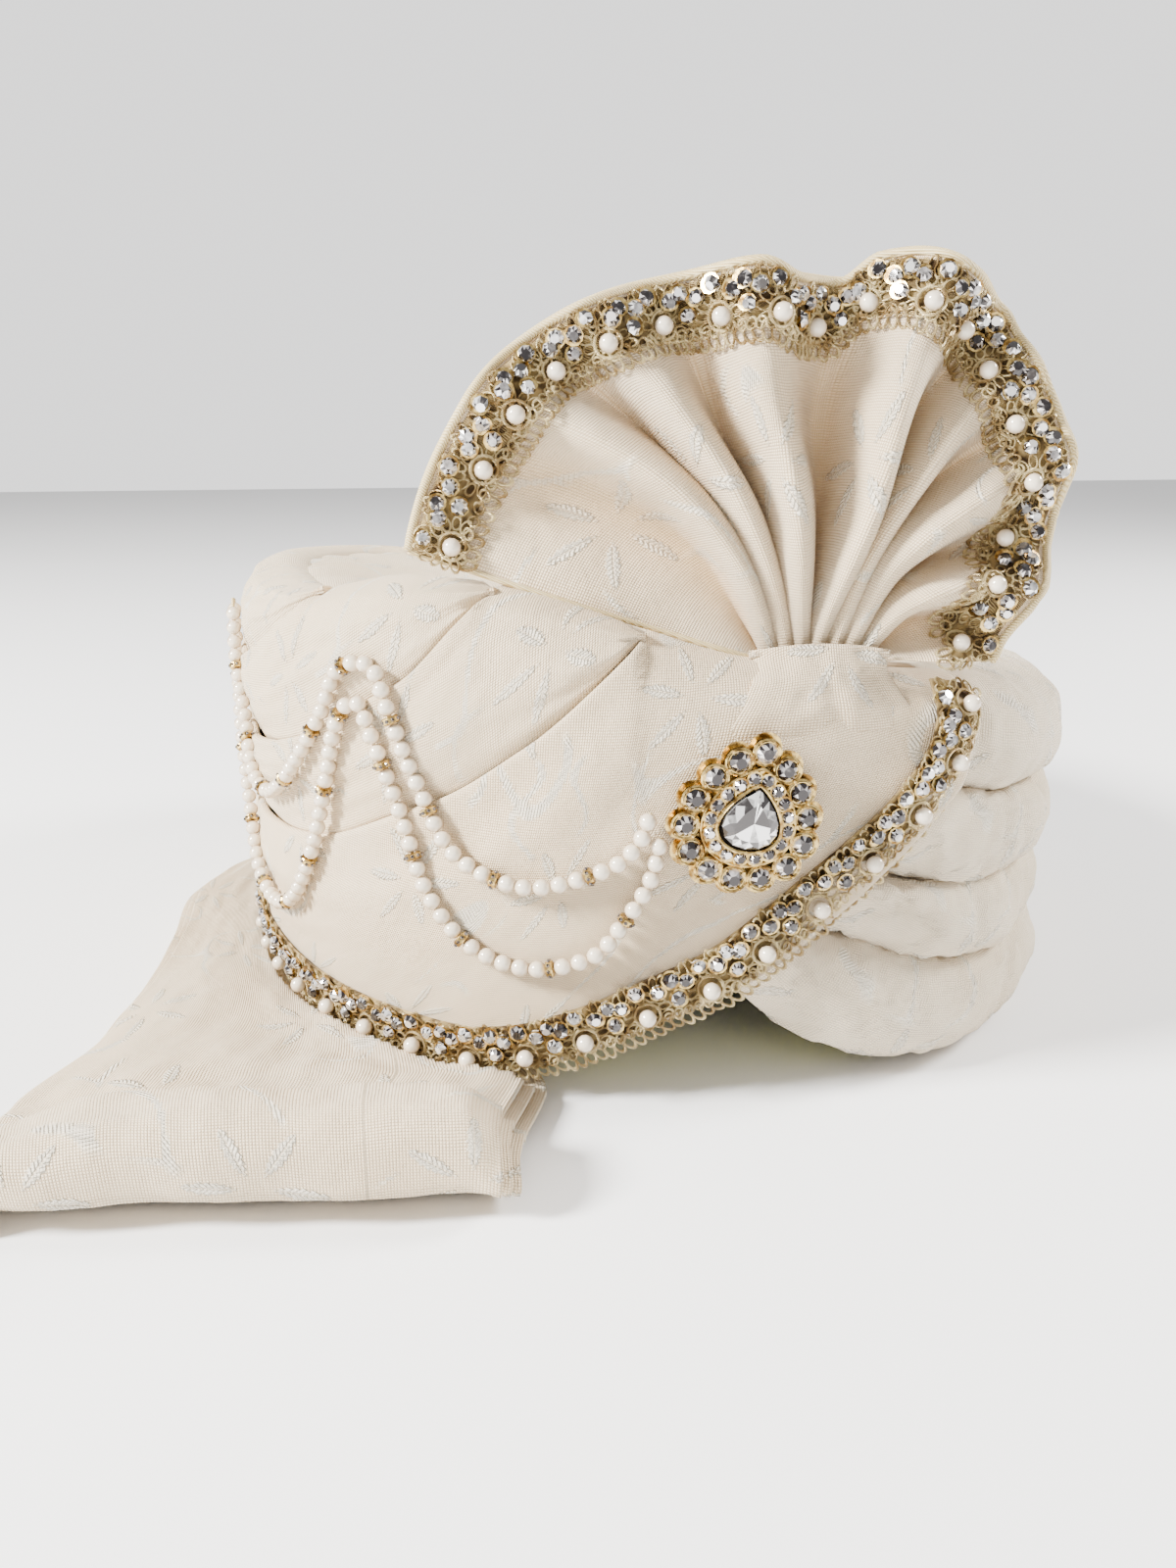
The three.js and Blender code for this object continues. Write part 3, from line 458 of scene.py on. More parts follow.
def ivoryCloth(name, **changes):
    look = {**ivoryLook, **changes}
    material, shader, where = startMaterial(name, True)
    [weave] = useGroup(weaveGroup, where, thread=look["thread"])
    figure, satin = useGroup(sprigGroup, where, cell=look["cell"], shift=look["shift"])
    patches = spread(cloudiness(where, 0.06), 0.3, 0.7)
    colour = blend(patches * 0.35, blend(weave, look["gap"], look["ground"]), look["warm"])
    colour = blend(figure * 0.8, colour, look["figure"])
    # painted shade: the fold colour goes over the cloth where the points hold painted fold shade
    feed(shader, {
        "Base Color": blend(attribute(where, "paintedFoldShade") * look["paintedFoldShadeAmount"], colour, look["fold"]),
        "Roughness": look["rough"] - figure * look["shine"],
        "Sheen Weight": look["sheen"],
        "Sheen Roughness": 0.4,
        "Normal": bump(weave * 0.22 + satin + cloudiness(where, 0.009, 3.0) * 1.3, look["depth"]),
    })
    return material


def makeLining():
    material, shader, where = startMaterial("olive lining", True)
    [weave] = useGroup(weaveGroup, where, thread=0.0005)
    # painted shade: darker down between the threads of the weave
    colour = blend(weave, (0.20, 0.19, 0.03), (0.45, 0.44, 0.09))
    feed(shader, {
        "Base Color": blend(cloudiness(where, 0.03) * 0.4, colour, (0.52, 0.50, 0.14)),
        "Roughness": 0.85,
        "Normal": bump(weave, 0.0001),
    })
    return material


def makeGoldThread(name, bright, dark, rough):
    material, shader, where = startMaterial(name)
    [wind] = useGroup(windGroup, where, thread=0.0005)
    patches = cloudiness(where, 0.0035, 3.0)
    feed(shader, {
        "Base Color": blend(spread(patches + wind * 0.08, 0.35, 0.65), dark, bright),
        "Metallic": 0.65,
        "Roughness": patches * 0.2 + rough,
        "Normal": bump(wind, 0.00012),
    })
    return material


def makeBrass():
    material, shader, where = startMaterial("gold setting")
    patches = cloudiness(where, 0.002, 3.0)
    feed(shader, {
        "Base Color": blend(spread(patches, 0.35, 0.65), (0.20, 0.11, 0.03), (0.74, 0.54, 0.20)),
        "Metallic": 1.0,
        "Roughness": patches * 0.2 + 0.16,
        "Normal": bump(patches, 0.0001),
    })
    return material


def makePearl():
    material, shader, where = startMaterial("ivory pearl")
    patches = cloudiness(where, 0.004)
    body = blend(patches, (0.78, 0.68, 0.53), (0.86, 0.79, 0.66))
    # painted shade: the pearls darken towards their outline, where they turn away from the view
    facing = newNode(where.tree, "LayerWeight", "Facing", {"Blend": 0.55})
    feed(shader, {
        "Base Color": blend(facing, body, (0.50, 0.36, 0.23)),
        "Roughness": patches * 0.1 + 0.12,
        "Coat Weight": 1.0,
        "Coat Roughness": 0.12,
        "Specular IOR Level": 0.7,
    })
    return material


def makeStone(name, dark, bright, metal):
    material, shader, where = startMaterial(name)
    # painted reflections: each facet is dark or bright, with painted glints from noise
    sparkle = cloudiness(where, 0.0012, 1.0)
    feed(shader, {
        "Base Color": blend(spread(attribute(where, "paintedFacetReflection") + sparkle * 0.5, 0.42, 1.1), dark, bright),
        "Metallic": metal,
        "Roughness": sparkle * 0.12,
        "Coat Weight": 1.0,
        "Coat Roughness": 0.02,
    })
    return material


def makePiping():
    material, shader, where = startMaterial("cream piping")
    [wind] = useGroup(windGroup, where, thread=0.0009)
    patches = cloudiness(where, 0.01)
    colour = blend(patches, (0.72, 0.55, 0.25), (0.85, 0.74, 0.48))
    # painted shade: the cord is darker down in the grooves of its twist
    feed(shader, {
        "Base Color": blend(spread(wind, -1.0, 0.2), (0.55, 0.40, 0.16), colour),
        "Roughness": patches * 0.2 + 0.55,
        "Normal": bump(wind, 0.0001),
    })
    return material


ivory = ivoryCloth("ivory jacquard")
ivoryRoll = ivoryCloth("ivory jacquard rolls", shift=0.37, gap=(0.6, 0.5, 0.38))
ivoryFan = ivoryCloth("ivory jacquard fan", shift=0.61, cell=0.052)
ivoryTail = ivoryCloth("ivory jacquard tail", shift=0.18)
lining = makeLining()
goldThread = makeGoldThread("antique gold thread", (0.80, 0.66, 0.36), (0.30, 0.19, 0.07), 0.3)
goldNet = makeGoldThread("gold net", (0.52, 0.38, 0.17), (0.06, 0.032, 0.012), 0.5)
brass = makeBrass()
pearl = makePearl()
clearStone = makeStone("clear crystal", (0.05, 0.045, 0.045), (0.97, 0.96, 0.95), 0.7)
greyStone = makeStone("smoky crystal", (0.014, 0.010, 0.011), (0.80, 0.76, 0.75), 0.7)
darkStone = makeStone("dark chips", (0.01, 0.008, 0.008), (0.25, 0.2, 0.18), 0.6)
darkGround = makeGoldThread("dark setting ground", (0.06, 0.04, 0.02), (0.008, 0.006, 0.005), 0.35)
piping = makePiping()
print("materials made")


# The pleated panels on the wearer's right: each a folded sheet whose top edge laps over the next

panels = {
    "step": 0.0024,  # how far a folded edge stands out
    "belly": 0.0009,
    "wall": 0.0009,
    "back": -235,  # the angle where the pleats end behind
    "gather": 1.15,
    "columns": 190,
    "rows": 44,
    "ends": [-69, -104, -119, -143],
    "cuts": [
        {"flat": (0.105, 0.36), "area": 0.0273},
        {"flat": (0.055, 0.33), "area": 0.0112},
        {"flat": (0.055, 0.30), "area": 0.0101},
        {"flat": (0.055, 0.26), "area": 0.0090},
    ],
}
riseAcross = smoothLine([(0, 0), (0.22, 0.25), (0.45, 0.5), (0.7, 0.8), (0.93, 1), (1, 0.97)])
# rows along a panel's section: share of the run, share across, then height and outward distance in mm
topRows = [
    (0.86, 0.955, 0, 0), (0.90, 0.99, 0.1, 0.1), (0.93, 1, 0.5, -0.5), (0.955, 1, 0.3, -1.9), (1, 1, -4, -3.0),
]
foldPath = [(0, 0, -5, -2.2), (0.05, 0, -0.5, -0.9), (0.09, 0.03, 0, -0.1), *topRows]
hemPath = [(0, 0, 1.2, -9), (0.05, 0, 0.1, -2.2), (0.09, 0.03, 0.2, -0.1), *topRows]
rimPath = [
    (0, 0, 0, 0), (0.05, 0, 0, 0), (0.09, 0.03, 0, 0), (0.86, 0.955, 0, -0.9),
    (0.90, 0.99, 0.5, -3.2), (0.93, 1, 0.8, -6.5), (0.955, 1, 0.2, -10), (1, 1, -3, -16),
]
foldLines, hemLines, rimLines = [
    [smoothLine([(row[0], row[i]) for row in path]) for i in (1, 2, 3)] for path in (foldPath, hemPath, rimPath)
]


def panelCrease(at, across, seed):
    # shallow drag lines along the pleat and soft dents
    dents = wander(at * 0.07, across * 2.2, seed) * 0.0013
    drags = wander(at * 0.05 + across * 1.5, across * 7 - at * 0.02, seed + 3) * 0.0009
    fine = wander(at * 0.45, across * 9, seed + 5) * 0.00016
    return dents + drags + fine


def brimStand(u):
    # the front panel's edge lies over the rolls
    return 0.0016 * (1 - ease(u / 0.09))


def panelPlace(index):
    low = brimUp if index == 0 else pleatEdges[index - 1]
    high = pleatEdges[index] if index < 3 else (lambda at: 1)
    hem = hemLines if index == 0 else foldLines
    tip = panels["ends"][index]

    def place(u, v):
        across = hem[0](v)
        start = brimAngle(mix(archTop[1], 1, across)) if index == 0 else tip
        at = mix(start, panels["back"], u ** panels["gather"])
        lowUp = archTop[1] if index == 0 and at > archTop[0] else low(at)
        highUp = max(high(at), lowUp)
        isRim = ease((highUp - 0.975) / 0.02)
        lift, out = [mix(hem[i](v), rimLines[i](v), isRim if v > 0.5 else 0) for i in (1, 2)]
        narrow = ease((highUp - lowUp) * 14)
        shape = math.sin(math.pi * min(1, across)) * panels["belly"] + panelCrease(at, across, index * 11)
        inside = ease((0.99 - u) / 0.012)
        free = ease(v / 0.1) * ease((1 - v) / 0.1)
        outward = panels["step"] * riseAcross(across) * (1 - isRim * ease((v - 0.8) / 0.1)) + shape * free * narrow
        lift *= narrow
        outward += mix(-2.4, out, narrow) * 0.001 - 0.006 * (1 - inside)
        if index == 0:
            outward += brimStand(u)
        return crownPoint(at, mix(lowUp, highUp, across), outward, lift * 0.001)

    return place


def clothOut(at, up):
    # how far the pleats stand out at a place
    levels = [brimUp(at)] + [edge(at) for edge in pleatEdges] + [1]
    index = next((i for i in range(4) if up <= levels[i + 1]), 3)
    tall = max(levels[index + 1] - levels[index], 0.02)
    across = min(1, max(0, (up - levels[index]) / tall))
    return panels["step"] * riseAcross(across) + math.sin(math.pi * across) * panels["belly"]


def panelOut(at, up):
    turned = wrapped(at)
    start = brimAngle(max(up, archTop[1]))
    run = max(0, (start - turned) / (start - panels["back"])) ** (1 / panels["gather"])
    return clothOut(turned, up) + (brimStand(run) if up <= pleatEdges[0](turned) else 0)


for index in range(4):
    mesh = sheetMesh(panels["columns"], panels["rows"], panelPlace(index), outOfHead)
    sheetPiece(
        "pleat_panel_" + str(index + 1), mesh, ivory, panels["wall"], "panel_" + str(index + 1),
        held="folded", rests_on=["crown_liner"], **panels["cuts"][index],
    )


# The four padded rolls on the wearer's left

rolls = {
    "crease": 0.0075,
    "bulge": 0.0028,
    "columns": 230,
    "rows": 30,
    "bend": 1.1,  # how far round each roll's section goes, in half turns
    "wall": 0.0012,
    "overTop": 0.009,  # how far the top roll turns in over the rim
    "tuck": 0.0050,
    "pinch": 0.006,
    "deepest": -0.0085,
}
rollBorders = [lowerEdge, *rollCreases, lambda at: 1]


def rollStart(low, high, across):
    at = archTop[0]
    for _ in range(24):
        at = mix(at, brimAngle(mix(low(at), high(at), across)), 0.5)
    return at


def rollCrease(at, across, seed):
    # crepe-like gathers across the roll, strongest beside the creases
    edge = abs(across - 0.5) * 2
    gathers = wander(at * 0.55, across * 1.3, seed) * (0.0004 + 0.0007 * edge * edge)
    slack = wander(at * 0.11, across * 1.8, seed + 2) * 0.0013
    fine = wander(at * 1.3, across * 5, seed + 4) * 0.0002
    return gathers + slack + fine


def rollPlace(number):
    low, high = rollBorders[4 - number], rollBorders[5 - number]
    isTop, isFoot = number == 1, number == 4
    starts = smoothLine([(i / 12, rollStart(low, high, i / 12)) for i in range(13)])

    def place(u, v):
        turn = (v - 0.5) * math.pi * rolls["bend"]
        across = min(1, max(0, 0.5 + 0.5 * math.sin(turn) * 1.03))
        at = mix(starts(across) - 1.5, crown["seam"] + 0.5, u)
        full = abs(math.cos(turn)) ** 0.62 * (1 if math.cos(turn) > 0 else -0.4)
        out = (rolls["crease"] + rolls["bulge"]) * full - rolls["crease"]
        lift = 0
        if isTop and v > 0.5:
            over = ease((v - 0.62) / 0.38)
            out -= rolls["overTop"] * over
            lift = 0.0012 * math.sin(math.pi * over)
        if isFoot and v < 0.5:
            lift = 0.0008 * ease((0.2 - v) / 0.2)
            out = max(out, rolls["deepest"])
        tucked = 1 - ease(u / 0.075)
        pinched = 1 - ease((1 - u) / 0.03)
        out -= rolls["tuck"] * tucked + rolls["pinch"] * pinched
        out += rollCrease(at, across, number * 13) * ease(u / 0.02)
        return crownPoint(at, mix(low(at), high(at), across), out, lift)

    return place


puff = {"frames": 20, "pressure": 4, "growth": -0.035, "most": 0.0020, "stiff": 12, "bend": 0.05}


def puffUp(piece):
    # the cloth swells between its sewn edges and wrinkles there
    mesh = bmesh.new()
    mesh.from_mesh(piece.data)
    held = [vert.index for vert in mesh.verts if vert.is_boundary or any(edge.is_boundary for edge in vert.link_edges)]
    mesh.free()
    sewn = piece.vertex_groups.new(name="sewn")
    sewn.add(held, 1.0, "REPLACE")
    cloth = piece.modifiers.new("cloth", "CLOTH")
    how = cloth.settings
    how.vertex_group_mass = "sewn"
    how.quality = 5
    how.tension_stiffness = how.compression_stiffness = puff["stiff"]
    how.bending_stiffness = puff["bend"]
    how.use_pressure = True
    how.uniform_pressure_force = puff["pressure"]
    how.shrink_min = puff["growth"]
    how.effector_weights.gravity = 0
    scene = bpy.context.scene
    for number in range(1, puff["frames"] + 1):
        scene.frame_set(number)
    swollen = piece.evaluated_get(bpy.context.evaluated_depsgraph_get()).data
    for vert, moved in zip(piece.data.vertices, swollen.vertices):
        step = moved.co - vert.co
        vert.co += step * min(1, puff["most"] / max(step.length, 1e-9))
    piece.modifiers.remove(cloth)
    piece.vertex_groups.clear()
    scene.frame_set(1)


for number in (1, 2, 3, 4):
    mesh = sheetMesh(rolls["columns"], rolls["rows"], rollPlace(number), outOfHead)
    piece = makePiece("padded_roll_" + str(number), mesh, ivoryRoll)
    puffUp(piece)
    addWall(piece, rolls["wall"])
    register(piece, "cloth", "roll_" + str(number))
    print(piece.name, "made")


# The lining inside and the cloth over the top

inside = {"wall": 0.0012, "shoulder": 0.6, "flange": 0.011, "corner": 0.003, "columns": 144, "rows": 48}


def liningPlace(u, v):
    at = mix(-180, 180, u)
    foot = heightAt(at, lowerEdge(at))
    shoulder = crown["headDepth"] * inside["shoulder"] + footHeight(at)
    top = crown["headDepth"] + crown["rightFoot"] / 2
    rim = crownReach(at, lowerEdge(at)) - inside["flange"]
    corner = inside["corner"]
    pucker = wanderRound(at, v * 4, 3, 9) * 0.0005
    if v < 0.2:  # the turned rim
        wave = 0.0008 * (1 + math.sin(v * 40 + at)) * 0.5
        return polar(at, mix(rim, headRadius(at) + corner, v / 0.2), foot + wave)
    if v < 0.28:  # its round corner
        bend = (v - 0.2) / 0.08 * math.pi / 2
        return polar(at, headRadius(at) + corner * (1 - math.sin(bend)), foot + corner * (1 - math.cos(bend)))
    if v < 0.6:
        return polar(at, headRadius(at) + pucker, mix(foot + corner, shoulder, (v - 0.28) / 0.32))
    bend = (v - 0.6) / 0.4 * math.pi / 2
    reach = max(0, math.cos(bend))
    return polar(at, (headRadius(at) + pucker) * reach, mix(shoulder, top, math.sin(bend)))


mesh = sheetMesh(inside["columns"], inside["rows"], liningPlace, lambda point: -outOfHead(point), ring=True)
sheetPiece(
    "head_lining", mesh, lining, inside["wall"], "crown_liner", "lining",
    flat=(0.17, 0.60), area=0.0845, held="gathered", rests_on=["panel_1", "roll_4"],
)

topCloth = {
    "edge": 0.0075,
    "drop": 0.0012,
    "sag": 0.004,
    "folds": 22,
    "foldHeight": 0.0022,
    "waveHeight": 0.0016,
    "columns": 176,
    "rows": 40,
    "wall": 0.001,
}


def topPlace(u, v):
    at = mix(-180, 180, u)
    centreHeight = (crown["leftTop"] + crown["rightTop"]) / 2
    reach = (crownReach(at, 1) - topCloth["edge"]) * (1 - v)
    height = mix(rimHeight(at) - topCloth["drop"], centreHeight, ease(v * 1.1))
    height -= topCloth["sag"] * math.sin(math.pi * min(1, v * 1.2)) ** 2
    turn = at + 50 * v + 9 * wanderRound(at, v * 2, 8, 1.6)
    fold = abs(math.sin(math.radians(turn * topCloth["folds"] / 2))) ** 0.7 - 0.6
    waves = wanderRound(at, v * 3, 9, 2) * topCloth["waveHeight"] * ease(v / 0.1) * (1 - v)
    height += fold * topCloth["foldHeight"] * ease(v / 0.15) * ease((1 - v) / 0.25) + waves
    height -= 0.0015 * ease((0.06 - v) / 0.06)
    return polar(at, reach, height)


mesh = sheetMesh(topCloth["columns"], topCloth["rows"], topPlace, upwards, plan=True)
sheetPiece(
    "top_cloth", mesh, ivoryTail, topCloth["wall"], "crown_cap",
    flat=(0.225, 0.26), area=0.0453, held="gathered", rests_on=["crown_liner"],
)


# The standing fan

fan = {
    "at": -85.5,
    "facing": -9,
    "lean": 0.05,
    "sweep": 0.05,
    "reach": 0.098,
    "rootWidth": 0.027,
    "pleats": 8,
    "pleatHeight": 0.0042,
    "hem": 0.0016,
    "lift": 0.002,
    "wall": 0.0009,
    "columns": 330,
    "rows": 56,
    "wander": 0.16,
    "slant": 0.0045,
    "curl": 0.0022,
    "ripple": 0.0006,
}
fanEnds = (165, -2)  # the angles of its left and its right edge
fanOutline = smoothLine([
    (-2, 0.44), (5, 0.46), (14, 0.529), (17.5, 0.569), (25, 0.622), (33, 0.697), (38, 0.745), (44.6, 0.778),
    (57.5, 0.855), (61, 0.893), (69, 0.917), (75.5, 0.928), (82, 0.907), (87, 0.847), (94, 0.849), (100.5, 0.893),
    (109, 0.907), (120, 0.944), (131, 0.98), (140.5, 1), (148, 0.997), (156, 0.993), (165, 0.985),
])
fanWaves = smoothLine([
    (-2, -0.6), (10, 0.6), (30, -0.4), (46, 0.8), (62, -0.8), (74, 1), (88, -0.9), (98, 0.9), (115, -0.3),
    (140, 0.7), (165, 0.2),
])
# where each ridge of the drape runs out, as a share of the fan's edge
ridgeLine = smoothLine([(0, 0), (0.13, 1), (0.245, 2), (0.385, 3), (0.57, 4), (0.66, 5), (0.76, 6), (0.895, 7), (1, 8)])
ridgeSize = smoothLine([
    (0, 0.25), (0.5, 0.6), (1, 1), (2, 1.15), (3, 1.35), (4, 1.4), (5, 1), (6, 1.1), (7, 0.9), (8, 0.5),
])
pleatAlong = smoothLine([(0, 0.55), (0.12, 0.85), (0.3, 1.55), (0.5, 2.1), (0.7, 1.7), (0.84, 0.7), (1, 0.45)])
waveAlong = smoothLine([(0, 0), (0.35, 0.08), (0.7, 0.45), (0.87, 1), (1, 1)])
fanRoot = crownPoint(fan["at"], 1, -0.007) + Vector((0, 0, fan["lift"]))
fanTurn = math.radians(fan["facing"])
fanRight = Vector((math.cos(fanTurn), math.sin(fanTurn), 0))
fanForward = Vector((math.sin(fanTurn), -math.cos(fanTurn), 0))


def fanPoint(right, up, forward):
    back = fan["lean"] * up + fan["sweep"] * right * right / fan["reach"]
    point = fanRoot + fanRight * right + fanForward * (forward - back)
    point.z = fanRoot.z + up
    return point


def fanEdgePoint(u):
    turn = mix(*fanEnds, u)
    reach = fan["reach"] * fanOutline(turn)
    return Vector((reach * math.cos(math.radians(turn)), reach * math.sin(math.radians(turn))))


def drapePhase(u, v):
    # how far a ridge of the drape wanders sideways
    return wander(v * 1.9, ridgeLine(u) * 0.8, 42) * fan["wander"] * 4 * v * (1 - v)


def fanPlace(u, v, front=0.0):
    ridge = ridgeLine(u)
    free = ease(u / 0.1) * ease((1 - u) / 0.1)
    root = Vector(((ridge / fan["pleats"] - 0.5) * fan["rootWidth"], 0))
    edge = fanEdgePoint(u)
    rising = Vector((root.x * 1.25 + edge.x * 0.16, edge.length * 0.46))  # the folds rise before they spread
    handle = (root + edge) / 2 + (rising - (root + edge) / 2) * free
    flat = root * (1 - v) ** 2 + handle * 2 * v * (1 - v) + edge * v * v
    along = (handle - root) * (1 - v) + (edge - handle) * v
    side = Vector((along.y, -along.x)).normalized()
    middleShare = 4 * v * (1 - v)
    lean = wander(v * 1.7, ridge * 0.7, 41) * fan["slant"] * middleShare * free
    swing = math.tau * (ridge + drapePhase(u, v) * free)
    drape = 1.9 * (0.5 + 0.5 * math.cos(swing)) ** mix(0.75, 1.35, ease(v * 2)) - 0.95
    flat += side * (lean + math.sin(swing) * mix(0.0007, 0.0021, ease(v * 2)) * free * (1 - v) * 1.6)
    curl = wander(u * 7, v * 2.4, 21) * fan["curl"] * middleShare
    small = wander(u * 24, v * 6, 22) * fan["ripple"] * ease((1 - v) * 6)
    size = mix(1, ridgeSize(ridge), ease(v * 3))
    depth = fan["pleatHeight"] * (drape * pleatAlong(v) * size + fanWaves(mix(*fanEnds, u)) * waveAlong(v))
    return fanPoint(flat.x, flat.y, depth + curl + small + front)


def fanPaintedShade(u, v):
    # painted shade laid into the drape's valleys: deep between the ridges, gone at the edges
    swing = math.tau * (ridgeLine(u) + drapePhase(u, v))
    shown = mix(0.9, 0.35, ease(v)) * ease(u / 0.08) * ease((1 - u) / 0.06)
    return (0.5 - 0.5 * math.cos(swing)) ** 1.6 * shown


def fanFacing(point):
    return fanForward


mesh = sheetMesh(fan["columns"], fan["rows"], fanPlace, fanFacing, paintedShade=fanPaintedShade)
sheetPiece(
    "fan_cloth", mesh, ivoryFan, fan["wall"], "fan", inward=False,
    flat=(0.10, 0.29), area=0.0195, held="gathered", rests_on=["panel_1"],
)


# Tubes and small repeated shapes

def tubeAlong(mesh, points, radius, sides=6, closed=False):
    # a round cord through points: a circle carried along them and bridged
    loops = []
    count = len(points)
    for i, point in enumerate(points):
        before = points[(i - 1) % count] if closed or i > 0 else point
        after = points[(i + 1) % count] if closed or i < count - 1 else point
        along = (after - before).normalized()
        turn = along.to_track_quat("Z", "Y").to_matrix().to_4x4()
        made = bmesh.ops.create_circle(
            mesh, cap_ends=False, segments=sides, radius=radius, matrix=Matrix.Translation(point) @ turn
        )
        ring = made["verts"]
        if loops:
            nearest = min(range(sides), key=lambda k: (ring[k].co - loops[-1][0].co).length)
            ring = ring[nearest:] + ring[:nearest]
        loops.append(ring)
    pairs = list(zip(loops, loops[1:])) + ([(loops[-1], loops[0])] if closed else [])
    for first, second in pairs:
        edges = [e for vert in first + second for e in vert.link_edges if e.is_valid]
        rims = [e for e in set(edges) if e.verts[0] in first and e.verts[1] in first]
        rims += [e for e in set(edges) if e.verts[0] in second and e.verts[1] in second]
        bmesh.ops.bridge_loops(mesh, edges=rims)
    if not closed:
        for ring in (loops[0], loops[-1]):
            bmesh.ops.contextual_create(mesh, geom=ring)


def keepTemplate(name, mesh, reflectionSeed=None):
    bmesh.ops.recalc_face_normals(mesh, faces=mesh.faces[:])
    if reflectionSeed is not None:
        # painted reflections: each facet of a cut stone gets a random dark or bright tone
        dice = random.Random(reflectionSeed)
        reflectionLayer = mesh.faces.layers.float.new("paintedFacetReflection")
        for face in mesh.faces:
            face[reflectionLayer] = dice.choice((0.0, 0.05, 0.2, 0.5, 0.85, 1.0))
    data = bpy.data.meshes.new(name)
    mesh.to_mesh(data)
    mesh.free()
    return data


def scatter(name, placed, material, slotName, smooth=False, replaced=None):
    # one piece from many copies of small shapes
    mesh = bmesh.new()
    for data, matrix in placed:
        copy = data.copy()
        copy.transform(matrix)
        mesh.from_mesh(copy)
        bpy.data.meshes.remove(copy)
    return register(makePiece(name, mesh, material, smooth), slotName, replaced)


def raised(height):
    return Matrix.Translation((0, 0, height))


def ringShape(radius, thick, steps, sides):
    mesh = bmesh.new()
    upright = Matrix.Translation((radius, 0, 0)) @ Matrix.Rotation(math.pi / 2, 4, "X")
    bmesh.ops.create_circle(mesh, cap_ends=False, segments=sides, radius=thick, matrix=upright)
    bmesh.ops.spin(
        mesh, geom=mesh.verts[:] + mesh.edges[:], cent=(0, 0, 0), axis=(0, 0, 1),
        angle=2 * math.pi, steps=steps, use_merge=True,
    )
    bmesh.ops.remove_doubles(mesh, verts=mesh.verts[:], dist=1e-6)
    return mesh


def pearlShape(size, segments=12, rings=7):
    mesh = bmesh.new()
    bmesh.ops.create_uvsphere(mesh, u_segments=segments, v_segments=rings, radius=size / 2)
    return mesh


def stoneShape(size, height, table=0.52, sides=8):
    # a cut stone: girdle, crown of split facets and a flat table
    mesh = bmesh.new()
    bmesh.ops.create_cone(
        mesh, cap_ends=True, segments=sides, radius1=size / 2, radius2=size / 2 * table, depth=height,
        matrix=raised(height / 2),
    )
    slopes = [face for face in mesh.faces if len(face.verts) == 4]
    bmesh.ops.poke(mesh, faces=slopes, offset=size * 0.035)
    return mesh


def cupShape(size, height, sides=10):
    mesh = bmesh.new()
    bmesh.ops.create_cone(
        mesh, cap_ends=True, segments=sides, radius1=size * 0.46, radius2=size * 0.56, depth=height,
        matrix=raised(height / 2),
    )
    return mesh


shapes = {
    "pearl": keepTemplate("pearl shape", pearlShape(0.0043)),
    "stones": [keepTemplate("stone shape", stoneShape(0.0039, 0.0013), seed) for seed in range(5)],
    "cup": keepTemplate("cup shape", cupShape(0.0040, 0.0009)),
    "pearlRing": keepTemplate("pearl ring", ringShape(0.0031, 0.00042, 14, 5)),
    "loop": keepTemplate("thread loop", ringShape(0.0014, 0.00036, 12, 4)),
    "petal": keepTemplate("thread petal", ringShape(0.0013, 0.0003, 10, 4)),
}


# The gold lace with its pearls and stones

lace = {
    "width": 0.013,
    "netFrom": 0.0026,
    "netWall": 0.0006,
    "motif": 0.0155,
    "loopStep": 0.0025,
    "petalStep": 0.0019,
    "pearlLine": 0.0052,
    "petals": 9,
    "petalRing": 0.0046,
    # along the lace and across it, where a motif's stones lie
    "stoneSpots": [(-0.0046, 0.0098), (0, 0.0117), (0.0046, 0.0098), (0.0077, 0.0064), (0.0077, 0.0112)],
    # the chain of loops: shift along, place across, height, turn and size
    "loopRows": [(0, 0.0008, 0.0005, 0.35, (0.8, 1.5, 1)), (0.0012, 0.0026, 0.0009, -0.6, (0.75, 0.95, 1))],
}


def laceFrame(place, s, w, h):
    # a place on a lace with axes along it, across it and out of it
    centre = place(s, w, h)
    along = (place(s + 0.001, w, h) - place(s - 0.001, w, h)).normalized()
    across = place(s, w + 0.001, h) - place(s, w - 0.001, h)
    out = along.cross(across).normalized()
    away = place(s, w, h + 0.001) - centre
    if out.dot(away) < 0:
        out = -out
    across = out.cross(along)
    return Matrix.Translation(centre) @ Matrix((along, across, out)).transposed().to_4x4()


